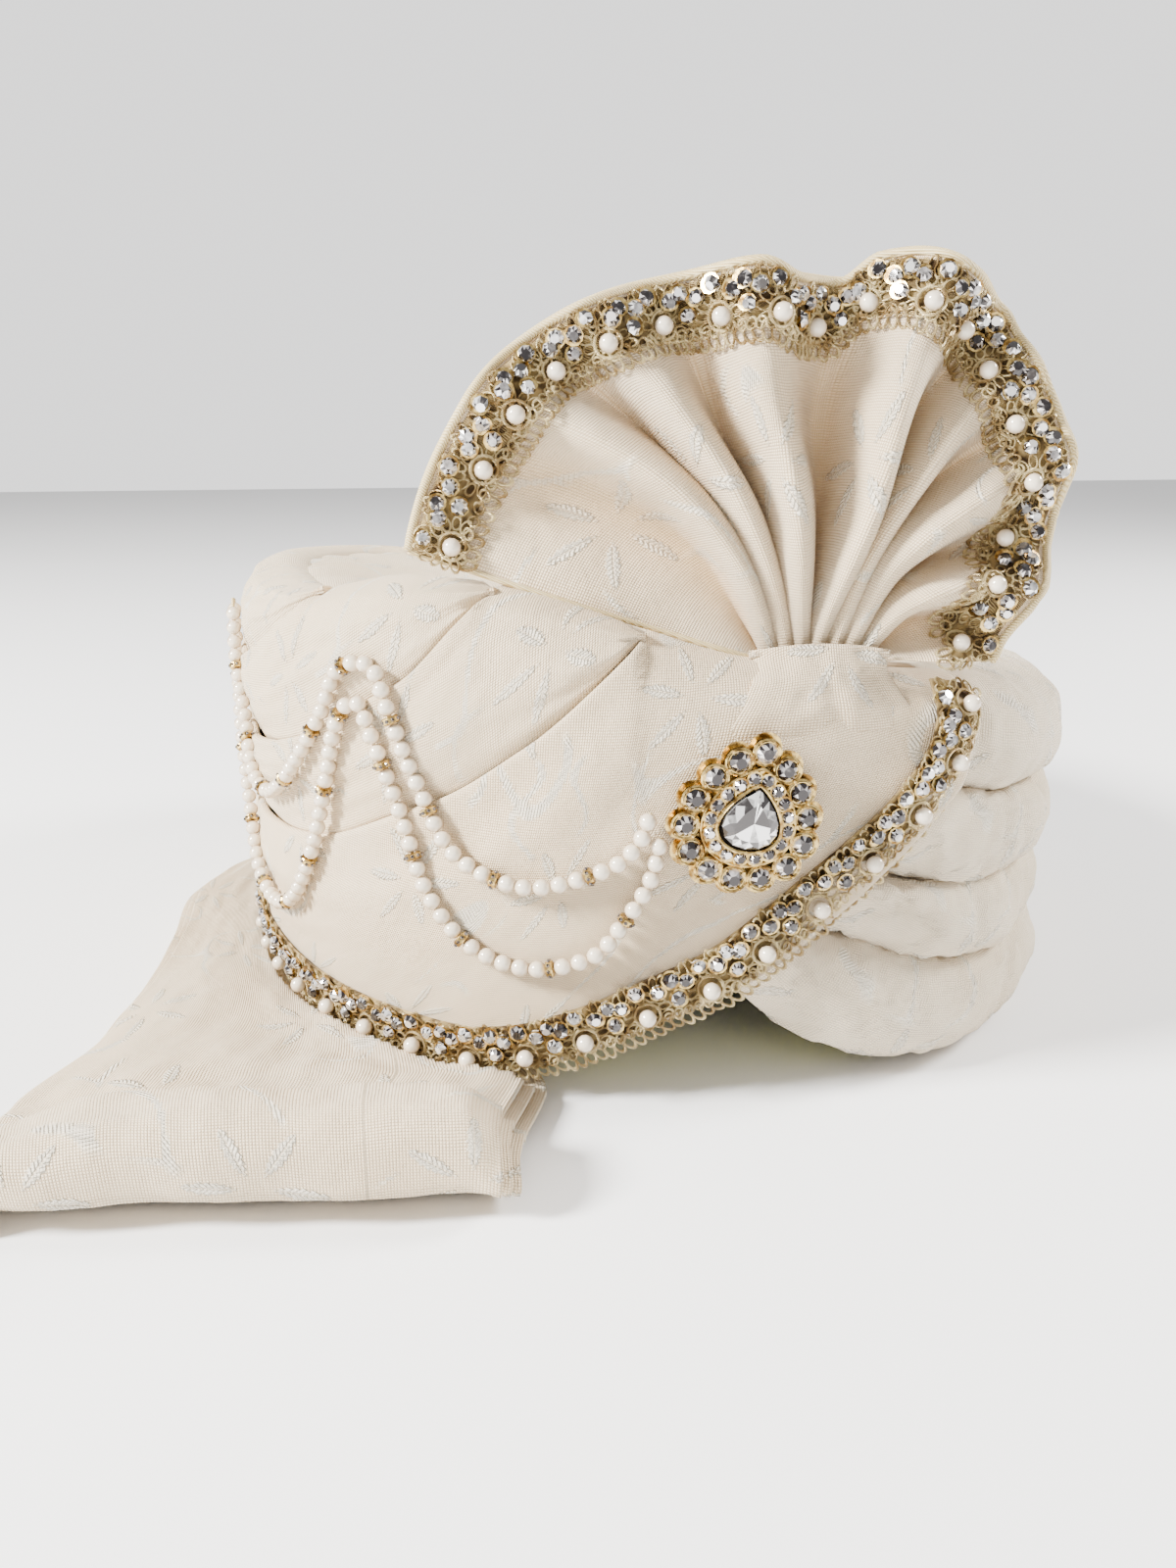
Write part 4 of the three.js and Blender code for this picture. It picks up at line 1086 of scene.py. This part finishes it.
def dressLace(name, place, length, facing, node, seed, hidden):
    # net, thread, pearls and stones of one lace, without its hidden ends
    dice = random.Random(seed)

    def netPlace(u, v):
        rough = wander(u * length * 300, v * 3, seed) * 0.0002
        return place(u * length, mix(lace["netFrom"], lace["width"], v), 0.0002 + rough)

    def put(shape, s, w, h, turn=0.0, size=(1, 1, 1), tip=0.0):
        matrix = laceFrame(place, s, w, h) @ Matrix.Rotation(turn, 4, "Z") @ Matrix.Rotation(tip, 4, "X")
        return shape, matrix @ Matrix.Diagonal((*size, 1))

    ground = makePiece(name + "_net", sheetMesh(int(length / 0.0014), 8, netPlace, facing), goldNet)
    addWall(ground, lace["netWall"])
    register(ground, "gold_lace", node)
    threads, beads, stones, cups = [], [], [], []
    line, ring, end = lace["pearlLine"], lace["petalRing"], length - hidden
    s = hidden + 0.001
    while s < end:  # chain of loops on the inner edge, in two crossing rows
        for shift, across, level, turn, size in lace["loopRows"]:
            turn += dice.uniform(-0.2, 0.2)
            threads.append(put(shapes["loop"], s + shift, across, level, turn, size, dice.uniform(-0.3, 0.3)))
        s += lace["loopStep"]
    s = hidden
    while s < end:  # scalloped outer edge of wound thread
        across = 0.0103 + 0.0018 * abs(math.sin(math.pi * s / (lace["motif"] / 2)))
        turn = dice.uniform(-0.5, 0.5)
        threads.append(put(shapes["petal"], s, across, 0.0008, turn, (0.7, 1.5, 1), dice.uniform(-0.7, 0.3)))
        s += lace["petalStep"]
    count = round((end - hidden) / lace["motif"])
    motif = (end - hidden - 0.008) / (count - 1)
    for i in range(count):
        s = hidden + 0.004 + i * motif
        beads.append(put(shapes["pearl"], s, line, 0.0026))
        threads.append(put(shapes["pearlRing"], s, line, 0.0010))
        for k in range(lace["petals"]):  # petals of thread round the pearl
            turn = math.radians(-20 + k * 27.5)
            threads.append(put(
                shapes["petal"], s + ring * math.cos(turn), line + ring * math.sin(turn), 0.0009,
                turn - math.pi / 2, (0.75, 1.25, 1), dice.uniform(-0.3, 0.3),
            ))
        for along, across in lace["stoneSpots"]:
            if not hidden <= s + along <= end:
                continue
            turn, size, lean = dice.uniform(0, 6.28), dice.uniform(0.92, 1.08), dice.uniform(-0.35, 0.35)
            cups.append(put(shapes["cup"], s + along, across, 0.0010, 0, (size, size, 1), lean))
            stones.append(put(dice.choice(shapes["stones"]), s + along, across, 0.0018, turn, (size,) * 3, lean))
    parts = (
        ("threads", threads, goldThread, "gold_lace", True),
        ("pearls", beads, pearl, "pearls", True),
        ("cups", cups, brass, "jewellery", False),
        ("stones_a", stones[0::2], clearStone, "jewellery", False),
        ("stones_b", stones[1::2], greyStone, "jewellery", False),
    )
    made = [scatter(name + "_" + part, *rest) for part, *rest in parts]
    print(name, "length", round(length, 3), "motifs", count)


def measured(points):
    lengths = [0]
    for a, b in zip(points, points[1:]):
        lengths.append(lengths[-1] + (b - a).length)
    return lengths


brimPath = [(brimAngle(up), up) for up in [0.985 - 0.01 * i for i in range(74)]]
brimPath += [(at, brimUp(at)) for at in [-95.5 - 0.5 * i for i in range(51)]]
brimPath += [(-122 - i, 0) for i in range(113)]
brimLengths = measured([crownPoint(at, up) for at, up in brimPath])
brimAt = smoothLine(list(zip(brimLengths, [row[0] for row in brimPath])))
brimShare = smoothLine(list(zip(brimLengths, [row[1] for row in brimPath])))


def brimPlace(s, w, h):
    at, up = brimAt(s), brimShare(s)
    before, after = [crownPoint(brimAt(s + step), brimShare(s + step)) for step in (-0.006, 0.006)]
    outward = outOfHead(polar(at, 1, 0))
    across = (after - before).cross(outward).normalized()
    if across.z < 0:
        across = -across
    sideways = Vector((0, 0, 1)).cross(outward)
    nextAt = at + math.degrees(across.dot(sideways) * w / crownReach(at, up))
    nextUp = min(up + across.z * w / (rimHeight(at) - footHeight(at)), 1)
    return crownPoint(nextAt, nextUp, panelOut(nextAt, nextUp) + 0.0009 + h)


brimLength = brimLengths[-1] - 0.004
dressLace("brim_lace", brimPlace, brimLength, outOfHead, "brim_trim", 4, 0.001)


fanEdge = measured([fanPlace(i / 400, 1) for i in range(401)])
fanShare = smoothLine([(length, i / 400) for i, length in enumerate(fanEdge)])


def fanLacePlace(s, w, h):
    u = fanShare(s)
    tall = (fanEdgePoint(u) - Vector((mix(-0.5, 0.5, u) * fan["rootWidth"], 0))).length
    return fanPlace(u, 1 - (fan["hem"] + lace["width"] - w) / tall, 0.0009 + h)


dressLace("fan_lace", fanLacePlace, fanEdge[-1], fanFacing, "fan_trim", 9, 0.0)


# Piping along the fan's free edges

def cordPiece(name, points, radius, slotName, sides=6):
    mesh = bmesh.new()
    tubeAlong(mesh, points, radius, sides)
    bmesh.ops.recalc_face_normals(mesh, faces=mesh.faces[:])
    register(makePiece(name, mesh, piping), slotName)


cordPiece("fan_edge_piping", [fanPlace(i / 200, 1, 0.0004) for i in range(201)], 0.0011, "cloth")
cordPiece("fan_lower_piping", [fanPlace(0, i / 60, 0.0002) for i in range(61)], 0.0008, "cloth")
print("fan dressed")


# The cloth wrapped over the fan's gathered root

wrap = {"half": 0.6, "front": 0.0054, "flare": 0.5, "columns": 80, "rows": 44, "wall": 0.0008}
# share across the band, height over the root and distance over what it lies on, in mm
wrapRows = [
    (0, -19, -1.6), (0.2, -12, -0.2), (0.4, -7, 0.9), (0.6, -2, 1.8),
    (0.84, 3.6, 1.6), (0.91, 4.4, 0.9), (0.95, 4.2, 0.0), (1, 2.5, -0.6),
]
wrapUp, wrapOver = [smoothLine([(row[0], row[i]) for row in wrapRows]) for i in (1, 2)]


def wrapPlace(u, v):
    share = mix(-wrap["half"], wrap["half"], u)
    up, over = wrapUp(v) * 0.001, wrapOver(v)
    right = share * fan["rootWidth"] * (1 + wrap["flare"] * ease((0.7 - v) / 0.7))
    here = fanPoint(right, up, 0)
    at = angleOf(here)
    share = min(1, (here.z - footHeight(at)) / (rimHeight(at) - footHeight(at)))
    surface = (crownPoint(at, share, panelOut(at, share)) - fanRoot).dot(fanForward)
    front = mix(surface, wrap["front"], ease((up + 0.003) / 0.0065))
    sides = 1 - abs(2 * u - 1) ** 4
    folds = math.sin(u * 17 + v * 4 + 2 * wander(u * 4, v * 2, 5)) * 0.9 * ease((u - 0.3) * 2)
    folds += wander(u * 7, v * 5, 6) * 0.8
    up -= 0.0018 * (2 * u - 1) ** 2 * ease((v - 0.5) * 4)
    over = mix(-1.2, over + folds * math.sin(math.pi * v) ** 0.5, sides)
    return fanPoint(right, up, front + over * 0.001)


mesh = sheetMesh(wrap["columns"], wrap["rows"], wrapPlace, fanFacing)
sheetPiece(
    "fan_base_cloth", mesh, ivory, wrap["wall"], "fan_base_wrap",
    flat=(0.032, 0.05), area=0.0011, held="folded", rests_on=["panel_1"],
)


# The brooch

brooch = {
    "at": -94.7,
    "up": 0.69,
    "tilt": -12,
    "width": 0.035,
    "height": 0.037,
    "plate": 0.0024,
    "outerStone": 0.0061,
    "innerStone": 0.0034,
    "outerCount": 14,
    "innerCount": 17,
}


def pearPoint(turn, width, height, sharp=0.5):
    widest = max(math.sin(t * 0.02) * math.sin(t * 0.01) ** sharp for t in range(157))
    across = math.sin(turn) * abs(math.sin(turn / 2)) ** sharp / widest
    return Vector((width / 2 * across, height / 2 * math.cos(turn), 0))


def pearPlaces(width, height, count, shift=0.0):
    fine = [pearPoint(2 * math.pi * i / 720, width, height) for i in range(721)]
    lengths = measured(fine)
    return [fine[bisect.bisect_left(lengths, lengths[-1] * ((i + shift) / count % 1))] for i in range(count)]


def pearPlate(mesh, width, height, low, high, sides=40, sharp=0.5):
    # a pear plate from a disc whose points are moved to the outline
    made = bmesh.ops.create_circle(mesh, cap_ends=True, segments=sides, radius=1)
    verts = sorted(made["verts"], key=lambda vert: round(math.atan2(vert.co.x, vert.co.y) % (2 * math.pi), 4))
    for i, vert in enumerate(verts):
        vert.co = pearPoint(2 * math.pi * i / sides, width, height, sharp) + Vector((0, 0, low))
    face = next(face for face in verts[0].link_faces if len(face.verts) == sides)
    made = bmesh.ops.extrude_face_region(mesh, geom=[face])
    top = [item for item in made["geom"] if isinstance(item, bmesh.types.BMVert)]
    bmesh.ops.translate(mesh, verts=top, vec=(0, 0, high - low))


def pearWire(width, height, level, radius, sharp=0.5):
    mesh = bmesh.new()
    points = [pearPoint(2 * math.pi * (i + 0.5) / 60, width, height, sharp) + Vector((0, 0, level)) for i in range(60)]
    tubeAlong(mesh, points, radius, 6, closed=True)
    return keepTemplate("brooch wire", mesh)


sideways = outOfHead(polar(brooch["at"] + 90, 1, 0))
above, below = [crownPoint(brooch["at"], brooch["up"] + step) for step in (0.1, -0.1)]
outward = sideways.cross((above - below).normalized())
seat = crownPoint(brooch["at"], brooch["up"], clothOut(brooch["at"], brooch["up"]) + 0.0008)
broochMatrix = Matrix.Translation(seat) @ Matrix((sideways, outward.cross(sideways), outward)).transposed().to_4x4()
broochMatrix = broochMatrix @ Matrix.Rotation(math.radians(brooch["tilt"]), 4, "Z")

plate, wide, tall, outer, inner = [brooch[size] for size in ("plate", "width", "height", "outerStone", "innerStone")]
mesh = bmesh.new()
pearPlate(mesh, wide - 0.003, tall - 0.003, 0, plate * 0.6)
pearPlate(mesh, wide * 0.6, tall * 0.61, plate * 0.6, plate + 0.0009)
metalParts = [
    (keepTemplate("brooch plate", mesh), broochMatrix),
    (pearWire(wide * 0.61, tall * 0.62, plate + 0.0010, 0.0004), broochMatrix),
    (pearWire(wide * 0.425, tall * 0.435, plate + 0.0020, 0.00045, 0.8), broochMatrix),
]
outerPlaces = pearPlaces(wide - outer - 0.0008, tall - outer - 0.0008, brooch["outerCount"])
innerPlaces = pearPlaces(wide * 0.51, tall * 0.52, brooch["innerCount"], 0.5)
bigCup = keepTemplate("big cup", cupShape(outer, 0.0016, 14))
bigRim = keepTemplate("big rim", ringShape(outer * 0.5, 0.0004, 16, 5))
petalDisc = keepTemplate("scallop", cupShape(outer * 1.12, 0.0008, 16))
smallCup = keepTemplate("small cup", cupShape(inner, 0.0010, 10))
prong = keepTemplate("prong", pearlShape(0.0009, 6, 4))
bigStones = [
    keepTemplate("big stone", stoneShape(outer * 0.93, 0.0017, 0.45), 30 + seed) for seed in range(6)
]
smallStones = [
    keepTemplate("small stone", stoneShape(inner * 0.97, 0.0011, 0.5), 40 + seed) for seed in range(4)
]
stoneParts = []
dice = random.Random(12)


def lifted(point, height):
    return broochMatrix @ Matrix.Translation(point + Vector((0, 0, height)))


def turned(matrix, height):
    return matrix @ raised(height) @ Matrix.Rotation(dice.uniform(0, 6.28), 4, "Z")


for point in outerPlaces:
    here = lifted(point, plate * 0.6)
    metalParts += [(bigCup, here), (bigRim, here @ raised(0.0015))]
    metalParts.append((petalDisc, lifted(point * 1.035, 0.0003)))
    stoneParts.append((dice.choice(bigStones), turned(here, 0.0012)))
    for k in range(4):
        turn = math.radians(45 + 90 * k)
        spot = Vector((math.cos(turn), math.sin(turn), 0)) * outer * 0.47 + Vector((0, 0, 0.0019))
        metalParts.append((prong, here @ Matrix.Translation(spot)))
for point in innerPlaces:
    here = lifted(point, plate + 0.0007)
    metalParts.append((smallCup, here))
    stoneParts.append((dice.choice(smallStones), turned(here, 0.0008)))

mesh = bmesh.new()
pearPlate(mesh, wide * 0.415, tall * 0.425, plate + 0.0005, plate + 0.0012, 32, 0.8)
scatter("brooch_dark_ground", [(keepTemplate("dark ground", mesh), broochMatrix)], darkGround, "jewellery")
mesh = bmesh.new()
pearPlate(mesh, wide * 0.365, tall * 0.375, plate + 0.0010, plate + 0.0026, 16, 0.8)
topFace = max(mesh.faces, key=lambda face: face.calc_center_median().z if len(face.verts) > 4 else -1)
bmesh.ops.inset_region(mesh, faces=[topFace], thickness=0.0022, depth=0.0016, use_even_offset=True)
slopes = [face for face in mesh.faces if face.normal.z > 0.1]
bmesh.ops.poke(mesh, faces=slopes, offset=0.0001)
centreStone = keepTemplate("centre stone", mesh, 77)
scatter("brooch_setting", metalParts, brass, "jewellery", replaced="brooch")
scatter("brooch_stones", stoneParts, greyStone, "jewellery")
scatter("brooch_centre_stone", [(centreStone, broochMatrix)], clearStone, "jewellery")
print("brooch made")


# The two strings of pearls

strings = {
    "pearl": 0.0042,
    "between": 5,
    "ring": 0.0019,
    "chips": 8,
    "upper": [
        (-103.6, 0.66), (-104.6, 0.59), (-107.5, 0.52), (-115, 0.45), (-122, 0.49), (-126, 0.615), (-128.4, 0.755),
        (-131, 0.84), (-135.5, 0.835), (-139, 0.74), (-144, 0.63), (-149, 0.56), (-155, 0.515), (-161, 0.535),
        (-167, 0.635), (-172, 0.78), (-175, 0.92),
    ],
    "lower": [
        (-102.6, 0.61), (-103.6, 0.505), (-106, 0.405), (-109, 0.32), (-115, 0.275), (-121, 0.305), (-125.4, 0.405),
        (-128.4, 0.555), (-130.6, 0.695), (-133, 0.77), (-135.6, 0.73), (-138.6, 0.595), (-142, 0.44), (-147, 0.3),
        (-154, 0.24), (-162, 0.275), (-169, 0.405), (-175, 0.585), (-180, 0.78), (-182, 0.9),
    ],
}
beadShape = keepTemplate("string pearl", pearlShape(strings["pearl"], 14, 8))
mesh = bmesh.new()
bmesh.ops.create_cone(mesh, cap_ends=True, segments=14, radius1=0.0020, radius2=0.0020, depth=0.0018)
sideEdges = [edge for edge in mesh.edges if abs(edge.verts[0].co.z - edge.verts[1].co.z) < 1e-6]
bmesh.ops.bevel(mesh, geom=sideEdges, offset=0.0003, affect="EDGES", segments=1, profile=0.5, material=-1)
ringShapeData = keepTemplate("gold ring", mesh)
chipShape = keepTemplate("ring stone", stoneShape(0.0011, 0.0005, 0.55, 6), 90)


def curvePoints(points, steps=24):
    # a round curve through points
    out = []
    for i in range(len(points) - 1):
        p0 = points[i - 1] if i else points[0] * 2 - points[1]
        p1, p2 = points[i], points[i + 1]
        p3 = points[i + 2] if i + 2 < len(points) else points[-1] * 2 - points[-2]
        for k in range(steps):
            t = k / steps
            square, cube = 2 * p0 - 5 * p1 + 4 * p2 - p3, 3 * p1 - p0 - 3 * p2 + p3
            out.append(0.5 * ((2 * p1) + (p2 - p0) * t + square * t * t + cube * t ** 3))
    out.append(points[-1])
    return out


def stringPieces(name):
    away = 0.0004 + strings["pearl"] / 2

    def standing(at, up):
        near = [clothOut(at + dx, min(1, up + dy)) for dx in (-2, 0, 2) for dy in (-0.03, 0, 0.03)]
        return max(sum(near) / len(near), clothOut(at, up)) + away

    line = curvePoints([crownPoint(at, up, standing(at, up)) for at, up in strings[name]])
    lengths = measured(line)

    def pointAt(distance):
        i = min(max(bisect.bisect_right(lengths, distance) - 1, 0), len(line) - 2)
        return line[i].lerp(line[i + 1], (distance - lengths[i]) / (lengths[i + 1] - lengths[i]))

    beads, rings, chips = [], [], []
    place, count = 0.0, 0
    while place < lengths[-1] - strings["pearl"]:
        isRing = count % (strings["between"] + 1) == strings["between"]
        size = strings["ring"] if isRing else strings["pearl"]
        centre = pointAt(place + size / 2)
        along = (pointAt(place + size) - pointAt(place)).normalized()
        turn = Matrix.Translation(centre) @ along.to_track_quat("Z", "Y").to_matrix().to_4x4()
        if isRing:
            rings.append((ringShapeData, turn))
            for k in range(strings["chips"]):
                spin = Matrix.Rotation(math.tau * k / strings["chips"], 4, "Z")
                out = Matrix.Translation((0.00185, 0, 0)) @ Matrix.Rotation(math.pi / 2, 4, "Y")
                chips.append((chipShape, turn @ spin @ out))
        else:
            beads.append((beadShape, turn))
        place += size
        count += 1
    start = "string_" + name
    cordPiece(start + "_thread", [pointAt(lengths[-1] * i / 150) for i in range(151)], 0.0005, "pearls", 5)
    scatter(start + "_pearls", beads, pearl, "pearls", True, "pearl_strand_" + name)
    scatter(start + "_rings", rings, brass, "jewellery")
    scatter(start + "_ring_stones", chips, darkStone, "jewellery")
    print(name, "string:", len(beads), "pearls,", len(rings), "rings")


for name in ("upper", "lower"):
    stringPieces(name)


# The folded tail that lies under the crown

tail = {
    "reach": 0.103,
    "rollHeight": 0.024,
    "underFoot": 0.0046,
    "ground": 0.0013,
    "columns": 150,
    "rows": 110,
    "wall": 0.0012,
    "areas": [0.0246, 0.0229, 0.0217],
}
# along the tail from its front roll back: angle and place of the left and of the right edge, and height
tailRows = [
    (-139, 0.96, -112.6, 0.45, 0.3), (-139.6, 0.96, -112.7, 0.43, 0.76), (-141, 0.93, -113.2, 0.37, 1),
    (-143.7, 0.88, -114, 0.26, 0.95), (-145.3, 0.83, -114.7, 0.19, 0.55), (-147.4, 0.76, -115.3, -0.01, 0.5),
    (-153.7, 0.47, -123.4, -0.5, 0.44), (-162.6, 0.31, -141, -1, 0.4), (-174, 0.22, -164, -1, 0.36),
    (-186, 0.205, -186, -1, 0.34), (-198.7, 0.155, -206, -1, 0.31), (-214, 0.03, -223, -1, 0.28),
]


def tailEdge(at, place):
    foot = crownReach(at, 0)
    if place < 0:
        return polar(at, mix(foot, headRadius(at, 0.0035), -place), 0)
    return polar(at, foot + tail["underFoot"] + place * tail["reach"], 0)


stations = [0, 0.045, 0.09, 0.17, 0.26, 0.36, 0.5, 0.62, 0.72, 0.81, 0.9, 1]


def edgeLine(first):
    # the left edge from the rows' first column, the right one from their third
    points = [tailEdge(row[first], row[first + 1]) for row in tailRows]
    lines = [smoothLine(list(zip(stations, [point[axis] for point in points]))) for axis in range(3)]
    return lambda t: Vector([line(t) for line in lines])


tailLeft, tailRight = edgeLine(0), edgeLine(2)
tailLift = smoothLine(list(zip(stations, [row[4] for row in tailRows])))


def tailPlace(layer):
    shrink = 1 - 0.27 * layer

    def place(u, v):
        along = mix(-0.09, 1, v)
        t = max(0, along)
        left, right = tailLeft(t), tailRight(t)
        sideways = (right - left).normalized()
        run = mix(-0.06, 1.0, u)
        share = min(1, max(0, run))
        point = left.lerp(right, share)
        down = ease(min(1, max(0, run + 0.06) / 0.06))
        height = tail["rollHeight"] * tailLift(t) * mix(0.8, 1, ease(share * 4))
        height *= 1 - 0.3 * ease((share - 0.9) / 0.1) ** 2
        point += sideways * (0.0026 * layer - 0.002) * ease((share - 0.8) / 0.2)
        if along < 0:  # turned under the front roll
            height = tail["rollHeight"] * 0.3 * (1 + along / 0.09) ** 0.7
            point += (tailLeft(0.2) - tailLeft(0)).normalized() * (-along) * 0.12
        point -= sideways * 0.0045 * layer * (1 - share) * 0.5
        inner = (tailLeft(0.3) - tailLeft(0)).normalized()
        point += inner * 0.0030 * layer * ease((0.3 - t) / 0.3)
        folds = wander(share * 5, along * 9, 31) * 0.0016 + wander(share * 16 - along * 6, along * 22, 32) * 0.0006
        folds += wander(share * 3 + along * 10, along * 4, 33) * 0.0012 * ease(along * 5)
        folds += wander(share * 2.6 + along * 1.5, along * 1.2, 37) * 0.0045 * ease(along * 4)
        folds *= ease((1.0 - share) / 0.08)
        height = height * shrink * down + folds * ease((along + 0.05) * 10) * down
        bulge = inner * (wander(share * 5, along * 14, 35) * -0.0016 - 0.0022 * math.sin(math.pi * min(1, t / 0.1)))
        point += bulge * ease((0.12 - t) / 0.12)
        at = angleOf(point)
        if math.hypot(point.x - middle.x, point.y - middle.y) < crownReach(at, 0) + 0.004:  # under the crown
            height = min(height, footHeight(at) - 0.0008)
        point.z = max(tail["ground"], height)
        return point

    return place


for layer in (0, 1, 2):
    mesh = sheetMesh(tail["columns"], tail["rows"], tailPlace(layer), upwards)
    sheetPiece(
        "tail_layer_" + str(layer + 1), mesh, ivoryTail, tail["wall"], "tail" if layer == 0 else None,
        flat=(0.20, 0.17), area=tail["areas"][layer], held="folded", rests_on=["crown_liner"],
    )


# Floor, light and camera

studio = {
    "floor": (0.90, 0.90, 0.90),
    "floorPatches": (0.89, 0.89, 0.90),
    "world": (1.0, 0.99, 0.985),
    "worldStrength": 0.8,
    "backdropStrength": 1.7,
    "lens": 29.25,
    "cameraPlace": (-0.1066, -0.398, 0.159),
    "cameraPitch": 15.8,
}
mesh = bmesh.new()
bmesh.ops.create_grid(mesh, x_segments=1, y_segments=1, size=3)
floorMaterial, shader, where = startMaterial("pale floor")
floorColour = blend(cloudiness(where, 0.4), studio["floor"], studio["floorPatches"])
feed(shader, {"Base Color": floorColour, "Roughness": 0.6})
makePiece("floor", mesh, floorMaterial)

world = bpy.data.worlds.new("studio")
world.use_nodes = True
nodes, links = world.node_tree.nodes, world.node_tree.links
lighting = nodes["Background"]
backdrop = nodes.new("ShaderNodeBackground")  # what the camera sees behind the object
for node, strength in ((lighting, "worldStrength"), (backdrop, "backdropStrength")):
    feed(node, {0: studio["world"], 1: studio[strength]})
either = nodes.new("ShaderNodeMixShader")
links.new(nodes.new("ShaderNodeLightPath").outputs["Is Camera Ray"], either.inputs[0])
links.new(lighting.outputs[0], either.inputs[1])
links.new(backdrop.outputs[0], either.inputs[2])
links.new(either.outputs[0], nodes["World Output"].inputs[0])
bpy.context.scene.world = world


def addLight(name, place, target, size, power, colour):
    data = bpy.data.lights.new(name, "AREA")
    data.shape = "DISK"
    data.size = size
    data.energy = power
    data.color = colour
    light = bpy.data.objects.new(name, data)
    light.location = place
    light.rotation_euler = (Vector(target) - Vector(place)).to_track_quat("-Z", "Y").to_euler()
    bpy.context.scene.collection.objects.link(light)


addLight("left light", (-1.35, -0.25, 0.95), (0, 0, 0.08), 0.4, 130, (1.0, 0.985, 0.95))
addLight("right light", (1.3, 0.0, 0.9), (0, 0, 0.08), 0.5, 50, (1.0, 0.98, 0.95))
addLight("front fill", (0.1, -1.5, 0.7), (0, 0, 0.08), 1.0, 4, (1.0, 0.93, 0.84))

cameraData = bpy.data.cameras.new("camera")
cameraData.lens = studio["lens"]
cameraData.sensor_width = 36
camera = bpy.data.objects.new("camera", cameraData)
bpy.context.scene.collection.objects.link(camera)
camera.location = middle + Vector(studio["cameraPlace"])
pitch = math.radians(studio["cameraPitch"])
look = Vector((0.2214 * math.cos(pitch), 0.9752 * math.cos(pitch), -math.sin(pitch)))
camera.rotation_euler = look.to_track_quat("-Z", "Y").to_euler()
bpy.context.scene.camera = camera
